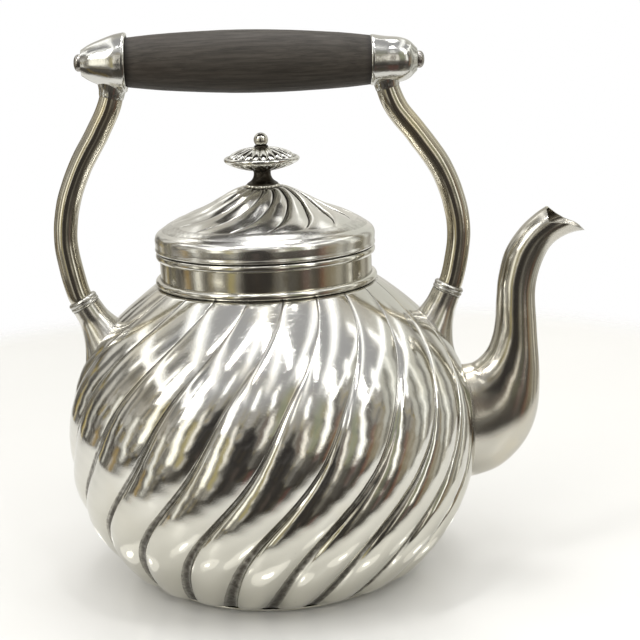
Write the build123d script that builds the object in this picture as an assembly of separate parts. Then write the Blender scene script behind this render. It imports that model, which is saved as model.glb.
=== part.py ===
from build123d import *
from math import cos, hypot, pi, radians, sin, sqrt
import os

os.makedirs("parts", exist_ok=True)

# A fixed-handled kettle with swirling lobes. Millimetres. Z is up from the flat of the base,
# X runs from the handle's left arm to the spout, Y runs to the back, where the lid is hinged.

# Body
BODY_R = 86.8          # greatest radius, over the crowns of the lobes
BODY_H = 125.7         # base plate to shoulder
BASE_R = 58.0          # radius the profile heads for at the base, before the toes round in
TOE_IN = 5.5           # how far the lobes' rounded ends draw in at the base plate
TOE_H = 8.0            # height of that rounding
EQUATOR = 0.476        # height of the widest ring, as a part of BODY_H
BELLY = 2.35           # fullness of the profile
WALL = 1.5             # sheet thickness under the grooves
LOBES = 21             # spiral lobes round the body
LOBE_DEPTH = 2.6       # groove depth at the foot, where it is greatest
LOBE_FADE = 0.12       # part of that depth left at the shoulder
TWIST = 62.5           # turn of a groove from base to shoulder, degrees
TWIST_SWAY = 2.7       # how far a groove bows from a plain spiral, degrees
GROOVE_START = -128.0  # bearing of one groove at the base, degrees
PLATE_T = 1.2          # base plate thickness
PLATE_EDGE = 0.2       # the base plate stops this far inside the lobes' toes
PLATE_R = BASE_R - TOE_IN - PLATE_EDGE

# Neck
NECK_H = 14.5          # shoulder to the neck's top edge
NECK_BORE = 43.0
NECK_WALL = 1.3
NECK_R = NECK_BORE + NECK_WALL
NECK_TUCK = 2.0        # length of the neck inside the shoulder
NECK_FIT = 0.688       # between the neck and the body's wall round it
SHOULDER_R = NECK_R + NECK_FIT + WALL + LOBE_DEPTH * LOBE_FADE
FOOT_BEAD_H = 3.4
FOOT_BEAD_R = SHOULDER_R - 0.3
RIM_H = 3.4
RIM_R = NECK_R + 1.6
SHOULDER_Z = PLATE_T + BODY_H
NECK_TOP = SHOULDER_Z + NECK_H

# Lid
LID_GAP = 0.3          # between the neck's top edge and the closed lid
LID_R = RIM_R + 0.2
LID_WALL = 1.3
LID_SIDE_H = 5.9       # straight side of the lid
LID_BORDER = 11.1      # width of the plain border
LID_SHOULDER_R = LID_R - LID_BORDER
LID_SHOULDER_H = 14.0
LID_CROWN_H = 25.5     # lid's lower edge to the flat under the finial
LID_CROWN_R = 9.4
LID_FLUTES = 16
FLUTE_DEPTH = 1.1
FLUTE_TWIST = 3.2      # degrees per mm of height
FLUTE_START = -80.0
BEZEL_GAP = 0.7        # round the lid's inner flange, inside the neck
BEZEL_WALL = 1.0
BEZEL_DROP = 6.1       # reach of the flange below the lid's lower edge
LID_Z = NECK_TOP + LID_GAP

# Hinge at the back of the neck
PIN_R = 0.9
PIN_CLEAR = 0.05
PIN_HEAD_R = PIN_R + 0.4
PIN_HEAD_T = 0.5
KNUCKLE_R = PIN_R + 1.1
HINGE_OUT = 0.9        # from the lid's side to the knuckles
HINGE_Y = LID_R + HINGE_OUT + KNUCKLE_R
HINGE_Z = NECK_TOP + LID_GAP / 2
LID_KNUCKLE_W = 5.8
KNUCKLE_GAP = 0.3
BRACKET_W = 18.0

# Finial
STUD_R = 1.5
FOOT_RING_R = LID_CROWN_R - 1.2
FOOT_RING_H = 1.3
STEM_H = 4.9
STEM_FOOT_R = FOOT_RING_R - 1.3
STEM_WAIST_R = STUD_R + 2.0
DISC_R = 15.7
DISC_H = 9.6
DISC_RIBS = 24
RIB_DEPTH = 0.7
BEAD_R = 3.0
BEAD_FOOT_R = STUD_R + 1.0
FINIAL_NUT_AF = 4 * STUD_R
FINIAL_NUT_H = 2.4
WASHER_R = STUD_R + 3.5
WASHER_T = 0.6

# Handle
GRIP_L = 99.5
GRIP_R = 12.8          # middle of the wooden grip
GRIP_END_R = 10.0
GRIP_X = -3.65         # the handle sits a little to the left
GRIP_DROP = 1.44       # and droops this many degrees to the right
GRIP_RISE = 91.35      # shoulder to the middle of the grip's axis
SPIGOT_R = GRIP_END_R - 2.0
SPIGOT_L = 6.0
ROD_R = 2.0
NUT_R = ROD_R + 1.5
NUT_H = 3.1
NUT_GRIP = 1.2         # tie rod inside each nut
LEFT_CAP_R = GRIP_END_R + 1.9
RIGHT_CAP_R = GRIP_END_R + 0.15
ARM_R = 4.95
STUB_R = ARM_R + 0.15
TANG_L = 9.0           # arm inside its socket, below the collar
COLLAR_R = ARM_R + 1.55
COLLAR_T = 3.7
SOCKET_TOP_R = ARM_R + 1.15
SOCKET_L = 27.0
SEAM_DROP = 12.75      # grip's axis down to where the arms meet the ferrules' stubs

# Spout, by its outline over the body's widest ring: X beyond BODY_R, part of BODY_H, half width
SPOUT_WALL = 1.3
SPOUT_HOLE_H = 32.0
SPOUT_HOLE_W = 18.0
SPOUT_HOLE_Z = PLATE_T + 0.48 * BODY_H


def save(shape, name):
    export_step(shape, "parts/" + name + ".step")


def polar(radius, bearing, z):
    return (radius * cos(radians(bearing)), radius * sin(radians(bearing)), z)


def turned(*runs):
    """Ring or disc turned about Z. A run of two points is straight, a longer one is curved."""
    edges = []
    for run in runs:
        points = [(r, 0, z) for r, z in run]
        edges.append(Line(*points) if len(points) == 2 else Spline(*points))
    return revolve(make_face(edges), Axis.Z, 360)


def lathe(points):
    """Solid turned about Z from a straight-sided outline."""
    corners = points + points[:1]
    return revolve(make_face(Polyline(*[(r, 0, z) for r, z in corners])), Axis.Z, 360)


def tube(inner, outer, z0, z1):
    return lathe([(inner, z0), (outer, z0), (outer, z1), (inner, z1)])


def disc(radius, z0, z1):
    return Pos(0, 0, (z0 + z1) / 2) * Cylinder(radius, z1 - z0)


def lobed(count, levels, straight=False):
    """Fluted solid. Each level is its height, radius over the crowns, groove depth and bearing."""
    step = 360.0 / count
    sections = []
    for z, crown, depth, bearing in levels:
        arcs = []
        for i in range(count):
            a = bearing + i * step
            start = polar(crown - depth, a, z)
            middle = polar(crown, a + step / 2, z)
            end = polar(crown - depth, a + step, z)
            arcs.append(ThreePointArc(start, middle, end))
        sections.append(make_face(arcs))
    return loft(sections, ruled=straight)


def belly(t):
    """Radius over the lobes at a part t of the body's height."""
    if t < EQUATOR:
        toe = TOE_IN * max(0, 1 - t * BODY_H / TOE_H) ** 3
        return BASE_R + (BODY_R - BASE_R) * (1 - (1 - t / EQUATOR) ** BELLY) - toe
    return SHOULDER_R + (BODY_R - SHOULDER_R) * (1 - ((t - EQUATOR) / (1 - EQUATOR)) ** BELLY)


def groove_depth(t):
    return LOBE_DEPTH * (LOBE_FADE + (1 - LOBE_FADE) * (1 - t * t))


def groove_bearing(t):
    return GROOVE_START + TWIST * t - TWIST_SWAY * sin(2 * pi * t) ** 2


# Lobed body: a hollow swirl open at the base plate and at the neck
LEVELS = 13
toe_t = TOE_H / BODY_H
heights = [0, 0.25 * toe_t, 0.6 * toe_t, toe_t]
heights += [toe_t + (1 - toe_t) * i / LEVELS for i in range(1, LEVELS + 1)]
body_levels = []
inside = []
for t in heights:
    z = PLATE_T + BODY_H * t
    body_levels.append((z, belly(t), groove_depth(t), groove_bearing(t)))
    inside.append((belly(t) - groove_depth(t) - WALL, z))
body_outside = lobed(LOBES, body_levels)
body_inside = turned(
    inside,
    [inside[-1], (0, SHOULDER_Z)],
    [(0, SHOULDER_Z), (0, PLATE_T)],
    [(0, PLATE_T), inside[0]],
)
spout_hole = Pos(BODY_R - 20, 0, SPOUT_HOLE_Z) * Rot(0, 90, 0) * extrude(
    Ellipse(SPOUT_HOLE_H / 2, SPOUT_HOLE_W / 2), 30
)
body_shell = body_outside - body_inside - spout_hole
base_plate = disc(PLATE_R, 0, PLATE_T)
save(base_plate, "base_plate")
save(body_shell, "body_shell")

# Neck: a plain band, a bead round its foot and a moulded rim round its top
neck_band = tube(NECK_BORE, NECK_R, SHOULDER_Z - NECK_TUCK, NECK_TOP)
bead_mid = SHOULDER_Z + FOOT_BEAD_H / 2
neck_foot_bead = turned(
    [(NECK_R, SHOULDER_Z), (FOOT_BEAD_R - 0.8, SHOULDER_Z)],
    [
        (FOOT_BEAD_R - 0.8, SHOULDER_Z),
        (FOOT_BEAD_R, bead_mid),
        (FOOT_BEAD_R - 0.9, SHOULDER_Z + FOOT_BEAD_H),
    ],
    [(FOOT_BEAD_R - 0.9, SHOULDER_Z + FOOT_BEAD_H), (NECK_R, SHOULDER_Z + FOOT_BEAD_H)],
    [(NECK_R, SHOULDER_Z + FOOT_BEAD_H), (NECK_R, SHOULDER_Z)],
)
rim_z = NECK_TOP - RIM_H
neck_rim = turned(
    [(NECK_R, rim_z), (NECK_R + 0.5, rim_z)],
    [(NECK_R + 0.5, rim_z), (RIM_R - 0.4, rim_z + 0.7), (RIM_R, rim_z + 1.9)],
    [(RIM_R, rim_z + 1.9), (RIM_R, NECK_TOP)],
    [(RIM_R, NECK_TOP), (NECK_R, NECK_TOP)],
    [(NECK_R, NECK_TOP), (NECK_R, rim_z)],
)
save(neck_band, "neck_band")
save(neck_foot_bead, "neck_foot_bead")
save(neck_rim, "neck_rim")

# Hinge bracket on the back of the rim, with two knuckles, and the pin through them
half_w = BRACKET_W / 2
inner_x = LID_KNUCKLE_W / 2 + KNUCKLE_GAP
side_w = half_w - inner_x
plate_y = HINGE_Y - KNUCKLE_R - 0.4
bracket = Pos(0, plate_y - 2, NECK_TOP - 1.7) * Box(BRACKET_W, 4, 2.8)
for side in (-1, 1):
    x = side * (inner_x + side_w / 2)
    bracket += Pos(x, HINGE_Y - 1.5, NECK_TOP - 1.05) * Box(side_w, 3, 1.5)
    bracket += Pos(x, HINGE_Y, HINGE_Z) * Rot(0, 90, 0) * Cylinder(KNUCKLE_R, side_w)
bracket -= Pos(0, 0, NECK_TOP - 10) * Cylinder(RIM_R, 40)
bracket -= Pos(0, HINGE_Y, HINGE_Z) * Rot(0, 90, 0) * Cylinder(PIN_R, 3 * BRACKET_W)
hinge_pin = Pos(0, HINGE_Y, HINGE_Z) * Rot(0, 90, 0) * Cylinder(PIN_R, BRACKET_W)
for side in (-1, 1):
    x = side * (half_w + PIN_HEAD_T / 2)
    hinge_pin += Pos(x, HINGE_Y, HINGE_Z) * Rot(0, 90, 0) * Cylinder(PIN_HEAD_R, PIN_HEAD_T)
save(bracket, "hinge_bracket")
save(hinge_pin, "hinge_pin")

# Lid: plain border, fluted crown, and the flange that drops into the neck
shoulder_z = LID_Z + LID_SHOULDER_H
crown_z = LID_Z + LID_CROWN_H
border = turned(
    [(0, LID_Z), (LID_R, LID_Z)],
    [(LID_R, LID_Z), (LID_R, LID_Z + LID_SIDE_H)],
    [
        (LID_R, LID_Z + LID_SIDE_H),
        (LID_R - 1.1, LID_Z + 8.5),
        (LID_R - 3.8, LID_Z + 11.0),
        (LID_R - 7.3, LID_Z + 12.8),
        (LID_SHOULDER_R, shoulder_z),
    ],
    [(LID_SHOULDER_R, shoulder_z), (0, shoulder_z)],
    [(0, shoulder_z), (0, LID_Z)],
)
# The crown's ogee: radius left at each part of its height
OGEE = (
    (0, 1.0),
    (0.11, 0.815),
    (0.235, 0.668),
    (0.40, 0.508),
    (0.575, 0.375),
    (0.75, 0.238),
    (0.90, 0.11),
    (1, 0),
)
crown_levels = [(shoulder_z - 2.5, LID_SHOULDER_R - 0.2, 0.02, FLUTE_START - FLUTE_TWIST * 2.5)]
crown_inside = []
for part, left in OGEE:
    z = shoulder_z + (crown_z - shoulder_z) * part
    r = LID_CROWN_R + (LID_SHOULDER_R - LID_CROWN_R) * left
    depth = FLUTE_DEPTH * (4 * part * (1 - part)) ** 0.6 + 0.35 * part
    crown_levels.append((z, r - 0.2 * left, depth + 0.02, FLUTE_START + FLUTE_TWIST * (z - shoulder_z)))
    if part < 1:
        crown_inside.append((r - depth - LID_WALL * 0.75, z - LID_WALL))
crown = lobed(LID_FLUTES, crown_levels)
inside_top = crown_z - LID_WALL
hollow = turned(
    [(0, LID_Z), (LID_R - LID_WALL, LID_Z)],
    [(LID_R - LID_WALL, LID_Z), (LID_R - LID_WALL, LID_Z + LID_SIDE_H - 0.4)],
    [
        (LID_R - LID_WALL, LID_Z + LID_SIDE_H - 0.4),
        (LID_R - 2.3, LID_Z + 7.7),
        (LID_R - 4.7, LID_Z + 9.8),
        (LID_R - 7.8, LID_Z + 11.4),
        crown_inside[0],
    ],
    crown_inside,
    [crown_inside[-1], (crown_inside[-1][0] - 1, inside_top)],
    [(crown_inside[-1][0] - 1, inside_top), (0, inside_top)],
    [(0, inside_top), (0, LID_Z)],
)
stud_bore = Pos(0, 0, crown_z) * Cylinder(STUD_R, 60)
lid_dome = border + crown - hollow - stud_bore
bezel_r = NECK_BORE - BEZEL_GAP
lid_bezel = lathe([
    (bezel_r - BEZEL_WALL, LID_Z - BEZEL_DROP),
    (bezel_r, LID_Z - BEZEL_DROP),
    (bezel_r, LID_Z + 0.2),
    (LID_R - LID_WALL, LID_Z + 0.2),
    (LID_R - LID_WALL, LID_Z + 1.3),
    (bezel_r - BEZEL_WALL, LID_Z + 1.3),
])
lid_knuckle = Pos(0, HINGE_Y, HINGE_Z) * Rot(0, 90, 0) * Cylinder(KNUCKLE_R, LID_KNUCKLE_W)
lid_knuckle += Pos(0, HINGE_Y - 2.5, LID_Z + 1.0) * Box(LID_KNUCKLE_W, 5, 1.4)
lid_knuckle -= Pos(0, 0, LID_Z) * Cylinder(LID_R, 40)
lid_knuckle -= Pos(0, HINGE_Y, HINGE_Z) * Rot(0, 90, 0) * Cylinder(PIN_R + PIN_CLEAR, 40)
save(lid_dome, "lid_dome")
save(lid_bezel, "lid_bezel")
save(lid_knuckle, "lid_knuckle")

# Finial, stacked on a stud through the crown
foot_top = crown_z + FOOT_RING_H
stem_top = foot_top + STEM_H
disc_top = stem_top + DISC_H
finial_foot = turned(
    [(STUD_R, crown_z), (FOOT_RING_R - 0.3, crown_z)],
    [(FOOT_RING_R - 0.3, crown_z), (FOOT_RING_R, crown_z + 0.6), (FOOT_RING_R - 0.5, foot_top)],
    [(FOOT_RING_R - 0.5, foot_top), (STUD_R, foot_top)],
    [(STUD_R, foot_top), (STUD_R, crown_z)],
)
finial_stem = turned(
    [(STUD_R, foot_top), (STEM_FOOT_R, foot_top)],
    [
        (STEM_FOOT_R, foot_top),
        (STEM_WAIST_R + 1.4, foot_top + 1.3),
        (STEM_WAIST_R, foot_top + 3.4),
        (STEM_WAIST_R + 0.4, stem_top),
    ],
    [(STEM_WAIST_R + 0.4, stem_top), (STUD_R, stem_top)],
    [(STUD_R, stem_top), (STUD_R, foot_top)],
)
# The disc's ribbed lens: part of its height, part of its radius, part of the rib depth
LENS = (
    (0, 0.30, 0.3),
    (0.12, 0.52, 0.7),
    (0.27, 0.80, 1.0),
    (0.42, 0.97, 0.9),
    (0.50, 1.0, 0.5),
    (0.58, 0.99, 0.6),
    (0.70, 0.87, 1.0),
    (0.84, 0.64, 1.0),
    (0.94, 0.42, 0.6),
    (1, 0.24, 0.3),
)
disc_levels = [(stem_top + DISC_H * h, DISC_R * r, RIB_DEPTH * d, 0) for h, r, d in LENS]
finial_disc = lobed(DISC_RIBS, disc_levels, straight=True) - disc(STUD_R, stem_top - 1, disc_top + 1)
bead_z = disc_top + 0.8 + sqrt(BEAD_R**2 - (STUD_R + 0.5) ** 2)
stud_top = bead_z
finial_bead = Pos(0, 0, bead_z) * Sphere(BEAD_R) + disc(BEAD_FOOT_R, disc_top, disc_top + 1.1)
finial_bead -= disc(2 * BEAD_R, disc_top - 5, disc_top)
finial_bead -= disc(STUD_R, disc_top, stud_top)
washer_z = inside_top - WASHER_T
nut_z = washer_z - FINIAL_NUT_H
stud_low = nut_z - 1.5
finial_stud = disc(STUD_R, stud_low, stud_top)
finial_washer = tube(STUD_R, WASHER_R, washer_z, inside_top)
nut_outline = RegularPolygon(FINIAL_NUT_AF / 2, 6, major_radius=False) - Circle(STUD_R)
finial_nut = Pos(0, 0, nut_z) * extrude(nut_outline, FINIAL_NUT_H)
save(finial_foot, "finial_foot")
save(finial_stem, "finial_stem")
save(finial_disc, "finial_disc")
save(finial_bead, "finial_bead")
save(finial_stud, "finial_stud")
save(finial_washer, "finial_washer")
save(finial_nut, "finial_nut")

# Handle: a turned wooden grip on a rod between two ferrules, on curved arms
droop = radians(GRIP_DROP)
grip_axis = Vector(cos(droop), 0, -sin(droop))
grip_z = SHOULDER_Z + GRIP_RISE
grip_plane = Plane(origin=(GRIP_X, 0, grip_z), x_dir=(0, 1, 0), z_dir=tuple(grip_axis))
half_l = GRIP_L / 2

# Each ferrule's outline, outwards from the grip: distance, and part of the radius at its mouth
LEFT_CAP = ((0, 1), (1.2, 1.017), (5, 0.950), (9.6, 0.807), (15.0, 0.613), (18.2, 0.445))
RIGHT_CAP = ((0, 1), (1.2, 1.02), (6.5, 0.946), (12, 0.897), (15.8, 0.768), (19.2, 0.463))


def along_grip(shape):
    return grip_plane.location * shape


def rod(points, start, finish, radius):
    """Round rod in the handle's plane: straight to the second point, then a smooth line."""
    spots = [(x, 0, z) for x, z in points]
    curve = Spline(*spots[1:], tangents=[(start[0], 0, start[1]), (finish[0], 0, finish[1])])
    path = Wire([Line(spots[0], spots[1]), curve])
    section = Plane(origin=spots[0], z_dir=(start[0], 0, start[1])) * Circle(radius)
    return sweep(section, path=path)


def ferrule(side, outline, mouth_r, stub):
    points = [(mouth_r * part, side * (half_l + d)) for d, part in outline]
    end = points[-1][1]
    shape = turned(
        points,
        [points[-1], (0, end)],
        [(0, end), (0, side * half_l)],
        [(0, side * half_l), points[0]],
    )
    shape = along_grip(shape) + stub
    middle = side * (half_l + SPIGOT_L / 2)
    shape -= along_grip(Pos(0, 0, middle) * Cylinder(SPIGOT_R, SPIGOT_L))
    return shape - along_grip(Cylinder(ROD_R, 3 * GRIP_L))


grip_waist = GRIP_R - 0.27 * (GRIP_R - GRIP_END_R)
grip_outline = [
    (GRIP_END_R, -half_l),
    (grip_waist, -half_l / 2),
    (GRIP_R, 0),
    (grip_waist, half_l / 2),
    (GRIP_END_R, half_l),
]
grip = turned(
    grip_outline,
    [(GRIP_END_R, half_l), (0, half_l)],
    [(0, half_l), (0, -half_l)],
    [(0, -half_l), (GRIP_END_R, -half_l)],
)
grip = grip + Cylinder(SPIGOT_R, GRIP_L + 2 * SPIGOT_L) - Cylinder(ROD_R, 2 * GRIP_L)
left_end = -half_l - LEFT_CAP[-1][0]
right_end = half_l + RIGHT_CAP[-1][0]
save(along_grip(grip), "grip")
tie_rod = disc(ROD_R, left_end - NUT_GRIP, right_end + NUT_GRIP)
save(along_grip(tie_rod), "tie_rod")
for name, end, side in (("left_nut", left_end, -1), ("right_nut", right_end, 1)):
    nut = turned(
        [(0, end), (NUT_R, end)],
        [(NUT_R, end), (NUT_R, end + side * 1.3)],
        [
            (NUT_R, end + side * 1.3),
            (NUT_R * 0.72, end + side * (NUT_H - 0.35)),
            (0, end + side * NUT_H),
        ],
        [(0, end + side * NUT_H), (0, end)],
    )
    nut -= disc(ROD_R, end - NUT_GRIP, end + NUT_GRIP)
    save(along_grip(nut), name)

# Each side of the handle. A socket stands on the body at a part of its height, leans out by an
# angle and carries its collar at a distance along that line. Its arm is given by points, each a part
# of the rise from collar to ferrule and a bow outwards. It ends with a gap between its stub and the
# grip's end, and at a distance under the grip's axis.
LEFT_SEAT = (0.8425, 29.08, 15.78)
RIGHT_SEAT = (0.8363, 24.21, 15.59)
LEFT_ARM = ((0.153, 6.99), (0.290, 10.98), (0.453, 11.85), (0.613, 9.06), (0.771, 3.53), (0.891, 0.22))
RIGHT_ARM = (
    (0.113, 5.98),
    (0.253, 11.12),
    (0.385, 12.97),
    (0.551, 11.64),
    (0.717, 5.45),
    (0.827, 0.44),
    (0.9155, -0.88),
)
LEFT_TOP = (0.52, 6.74)
RIGHT_TOP = (0.82, 3.95)
LEFT_FLARE = 14.6
RIGHT_FLARE = 12.9


def side_parts(side, seat_at, arm, arm_top, outline, mouth_r, flare):
    sign = -1 if side == "left" else 1
    part, lean, stand = seat_at
    nx = sign * sin(radians(lean))
    nz = cos(radians(lean))
    cx = sign * belly(part) + nx * stand
    cz = PLATE_T + BODY_H * part + nz * stand
    seat = Plane(origin=(cx, 0, cz), x_dir=(0, 1, 0), z_dir=(nx, 0, nz))
    top = COLLAR_T / 2
    ring = turned(
        [(ARM_R, -top), (COLLAR_R - 0.6, -top)],
        [(COLLAR_R - 0.6, -top), (COLLAR_R, -top / 2), (COLLAR_R - 0.7, 0)],
        [(COLLAR_R - 0.7, 0), (COLLAR_R, top / 2), (COLLAR_R - 0.6, top)],
        [(COLLAR_R - 0.6, top), (ARM_R, top)],
        [(ARM_R, top), (ARM_R, -top)],
    )
    curve = [
        (SOCKET_TOP_R, -top),
        (SOCKET_TOP_R + 0.5, -0.30 * SOCKET_L),
        (SOCKET_TOP_R + 0.33 * (flare - SOCKET_TOP_R), -0.537 * SOCKET_L),
        (SOCKET_TOP_R + 0.65 * (flare - SOCKET_TOP_R), -0.722 * SOCKET_L),
        (flare, -0.87 * SOCKET_L),
        (flare + 4, -SOCKET_L),
    ]
    foot = turned(
        curve,
        [curve[-1], (0, -SOCKET_L)],
        [(0, -SOCKET_L), (0, -top)],
        [(0, -top), curve[0]],
    )
    tang = seat.location * disc(ARM_R, -top - TANG_L, top)
    foot = seat.location * foot - body_outside - tang
    gap, under = arm_top
    reach = half_l + STUB_R + gap
    end_x = GRIP_X + sign * reach * cos(droop)
    end_z = grip_z - sign * reach * sin(droop) - under
    points = [(cx + nx * d, cz + nz * d) for d in (-top - TANG_L, top)]
    for part, bow in arm + ((1, 0),):
        points.append((cx + (end_x - cx) * part + sign * bow, cz + (end_z - cz) * part))
    over_seam = Pos(0, 0, grip_z - SEAM_DROP + 50) * Box(4 * BODY_R, 100, 100)
    arm_shape = rod(points, (nx, nz), (-0.12 * sign, 1), ARM_R) - over_seam
    stub = rod(points, (nx, nz), (-0.12 * sign, 1), STUB_R) & over_seam
    save(seat.location * ring, side + "_collar")
    save(foot, side + "_socket")
    save(arm_shape, side + "_arm")
    save(ferrule(sign, outline, mouth_r, stub), side + "_ferrule")


side_parts("left", LEFT_SEAT, LEFT_ARM, LEFT_TOP, LEFT_CAP, LEFT_CAP_R, LEFT_FLARE)
side_parts("right", RIGHT_SEAT, RIGHT_ARM, RIGHT_TOP, RIGHT_CAP, RIGHT_CAP_R, RIGHT_FLARE)

# Spout: each station is its back edge, its front edge (X beyond the body, part of the body's
# height), half its width, and how pointed its front is
STATIONS = (
    ((-16.0, 0.680), (-12.0, 0.275), 15.0, 0.0),
    ((-3.0, 0.680), (2.0, 0.290), 14.6, 0.0),
    ((1.4, 0.690), (11.5, 0.320), 14.0, 0.0),
    ((6.1, 0.728), (21.7, 0.400), 12.8, 0.0),
    ((8.5, 0.774), (27.0, 0.494), 11.2, 0.0),
    ((9.7, 0.825), (28.6, 0.615), 9.8, 0.0),
    ((10.4, 0.908), (27.5, 0.795), 8.8, 0.0),
    ((11.5, 0.985), (27.0, 0.940), 8.2, 0.0),
    ((14.7, 1.072), (30.6, 1.040), 8.1, 0.0),
    ((20.6, 1.140), (35.2, 1.092), 8.1, 0.15),
    ((27.4, 1.189), (43.0, 1.122), 8.4, 0.45),
    ((34.0, 1.222), (54.0, 1.130), 8.0, 0.9),
)
# Side view of the open mouth: the back lip, the notch, and the edge out to the beak's tip
MOUTH = ((31.9, 1.213), (32.5, 1.172), (41.0, 1.157), (48.8, 1.127))


def station(back, front, half, point, inset):
    b = Vector(BODY_R + back[0], 0, PLATE_T + BODY_H * back[1])
    f = Vector(BODY_R + front[0], 0, PLATE_T + BODY_H * front[1])
    run = (f - b).normalized()
    b = b + run * inset
    f = f - run * inset * (1 + point)
    widest = b + (f - b) * 0.5
    half = half - inset
    sides = []
    for y in (1, -1):
        out = Vector(0, y, 0)
        nose = (out * (point - 1) + run * point).normalized()
        middle = widest + out * half
        edge = Spline(b, middle, f, tangents=[out, nose])
        sides.append(edge)
    return make_face(sides)


def spout_solid(inset, stations):
    return loft([station(*s, inset) for s in stations])


spout_outside = spout_solid(0, STATIONS)
spout_inside = spout_solid(SPOUT_WALL, STATIONS)
mouth = [(BODY_R + x, PLATE_T + BODY_H * h) for x, h in MOUTH]
mouth += [(mouth[-1][0] + 30, mouth[-1][1]), (mouth[-1][0] + 30, mouth[0][1] + 60)]
mouth += [(mouth[0][0] - 14, mouth[0][1] + 60)]
mouth_cut = extrude(make_face(Polyline(*[(x, 0, z) for x, z in mouth + mouth[:1]])), 40, both=True)
spout = spout_outside - spout_inside - body_outside - mouth_cut
save(spout, "spout")
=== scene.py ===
import math

import bmesh
import bpy
import numpy as np
from mathutils import Matrix, Vector


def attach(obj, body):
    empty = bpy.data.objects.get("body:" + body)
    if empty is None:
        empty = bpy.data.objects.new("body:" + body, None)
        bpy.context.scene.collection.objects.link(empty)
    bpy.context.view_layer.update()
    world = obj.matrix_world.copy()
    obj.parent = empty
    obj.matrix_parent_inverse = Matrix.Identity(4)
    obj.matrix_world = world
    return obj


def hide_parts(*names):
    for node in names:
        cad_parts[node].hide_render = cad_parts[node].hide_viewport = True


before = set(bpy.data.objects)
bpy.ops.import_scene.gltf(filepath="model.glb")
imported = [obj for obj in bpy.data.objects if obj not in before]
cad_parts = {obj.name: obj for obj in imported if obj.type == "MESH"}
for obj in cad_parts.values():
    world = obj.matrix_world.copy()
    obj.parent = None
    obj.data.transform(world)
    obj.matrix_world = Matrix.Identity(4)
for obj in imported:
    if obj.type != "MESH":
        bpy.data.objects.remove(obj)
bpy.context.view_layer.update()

MM = 0.001
TURN = 2 * math.pi
RNG = np.random.default_rng(7)

# A kettle with swirling lobes, a fixed handle and a lid hinged at the back. The meshes are worked
# out in millimetres: Z is up from the flat of the base, X runs towards the spout, Y to the back.

# Sizes shared with the CAD model
BODY_R, BODY_H, BASE_R, SHOULDER_R = 86.8, 125.7, 58.0, 46.8
TOE_IN, TOE_H, EQUATOR, BELLY = 5.5, 8.0, 0.476, 2.35
LOBES, LOBE_DEPTH, LOBE_FADE = 21, 2.6, 0.12
TWIST, TWIST_SWAY, GROOVE_START = 62.5, 2.7, -128.0
WALL, PLATE_T, PLATE_R = 1.5, 1.2, 52.3
SHOULDER_Z = PLATE_T + BODY_H
NECK_TOP = SHOULDER_Z + 14.5
NECK_BORE, NECK_R, NECK_TUCK = 43.0, 44.3, 2.0
FOOT_BEAD_R, FOOT_BEAD_H, RIM_R = 46.5, 3.4, 45.9
LID_Z, LID_FLUTES, LID_BORE_R = NECK_TOP + 0.3, 16, 44.8
CROWN_Z, LID_SHOULDER_Z = LID_Z + 25.5, LID_Z + 14.0
FLUTE_START, FLUTE_TWIST = -80.0, 3.2
BEZEL_IN, BEZEL_R, BEZEL_DROP = 41.3, 42.3, 6.1
STUD_R, DISC_H, BEAD_R, BEAD_FOOT_R = 1.5, 9.6, 3.0, 2.0
GRIP_L, GRIP_R, SPIGOT_R, SPIGOT_L = 99.5, 12.8, 8.0, 3.0
GRIP_AT = np.array([-3.65, 0, SHOULDER_Z + 91.35])
GRIP_DROP = math.radians(1.44)
ARM_R, COLLAR_HALF, TANG_L = 4.95, 1.85, 9.0
NUT_R, NUT_GRIP, NUT_DOME = 3.5, 1.2, 1.9
SPOUT_WALL = 1.3


# ---------------- curves and meshes
def unit(value):
    """The value, held between 0 and 1."""
    return np.clip(value, 0, 1)


def falloff(distance, width):
    """1 at a distance of 0, fading out smoothly over about twice the width."""
    return np.exp(-((distance / width) ** 2))


def spline(points, n):
    """n samples, even along the length, of a smooth curve through points."""
    p = np.asarray(points, float)
    p = np.vstack([2 * p[0] - p[1], p, 2 * p[-1] - p[-2]])
    s = np.linspace(0, 1, 24, endpoint=False)[:, None]
    start_share, start_slope = 2 * s**3 - 3 * s**2 + 1, s**3 - 2 * s**2 + s
    end_share, end_slope = 3 * s**2 - 2 * s**3, s**3 - s**2
    out = []
    for a, b, c, d in zip(p[:-3], p[1:-2], p[2:-1], p[3:]):
        k1, k2, k3 = [max(np.linalg.norm(v), 1e-9) ** 0.5 for v in (b - a, c - b, d - c)]
        m1 = (b - a) / k1 - (c - a) / (k1 + k2) + (c - b) / k2
        m2 = (c - b) / k2 - (d - b) / (k2 + k3) + (d - c) / k3
        out.append(start_share * b + start_slope * m1 * k2 + end_share * c + end_slope * m2 * k2)
    out.append(p[-2:-1])
    q = np.vstack(out)
    run = np.concatenate([[0], np.cumsum(np.linalg.norm(np.diff(q, axis=0), axis=1))])
    at = np.linspace(0, run[-1], n)
    return np.stack([np.interp(at, run, q[:, k]) for k in range(q.shape[1])], 1)


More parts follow.
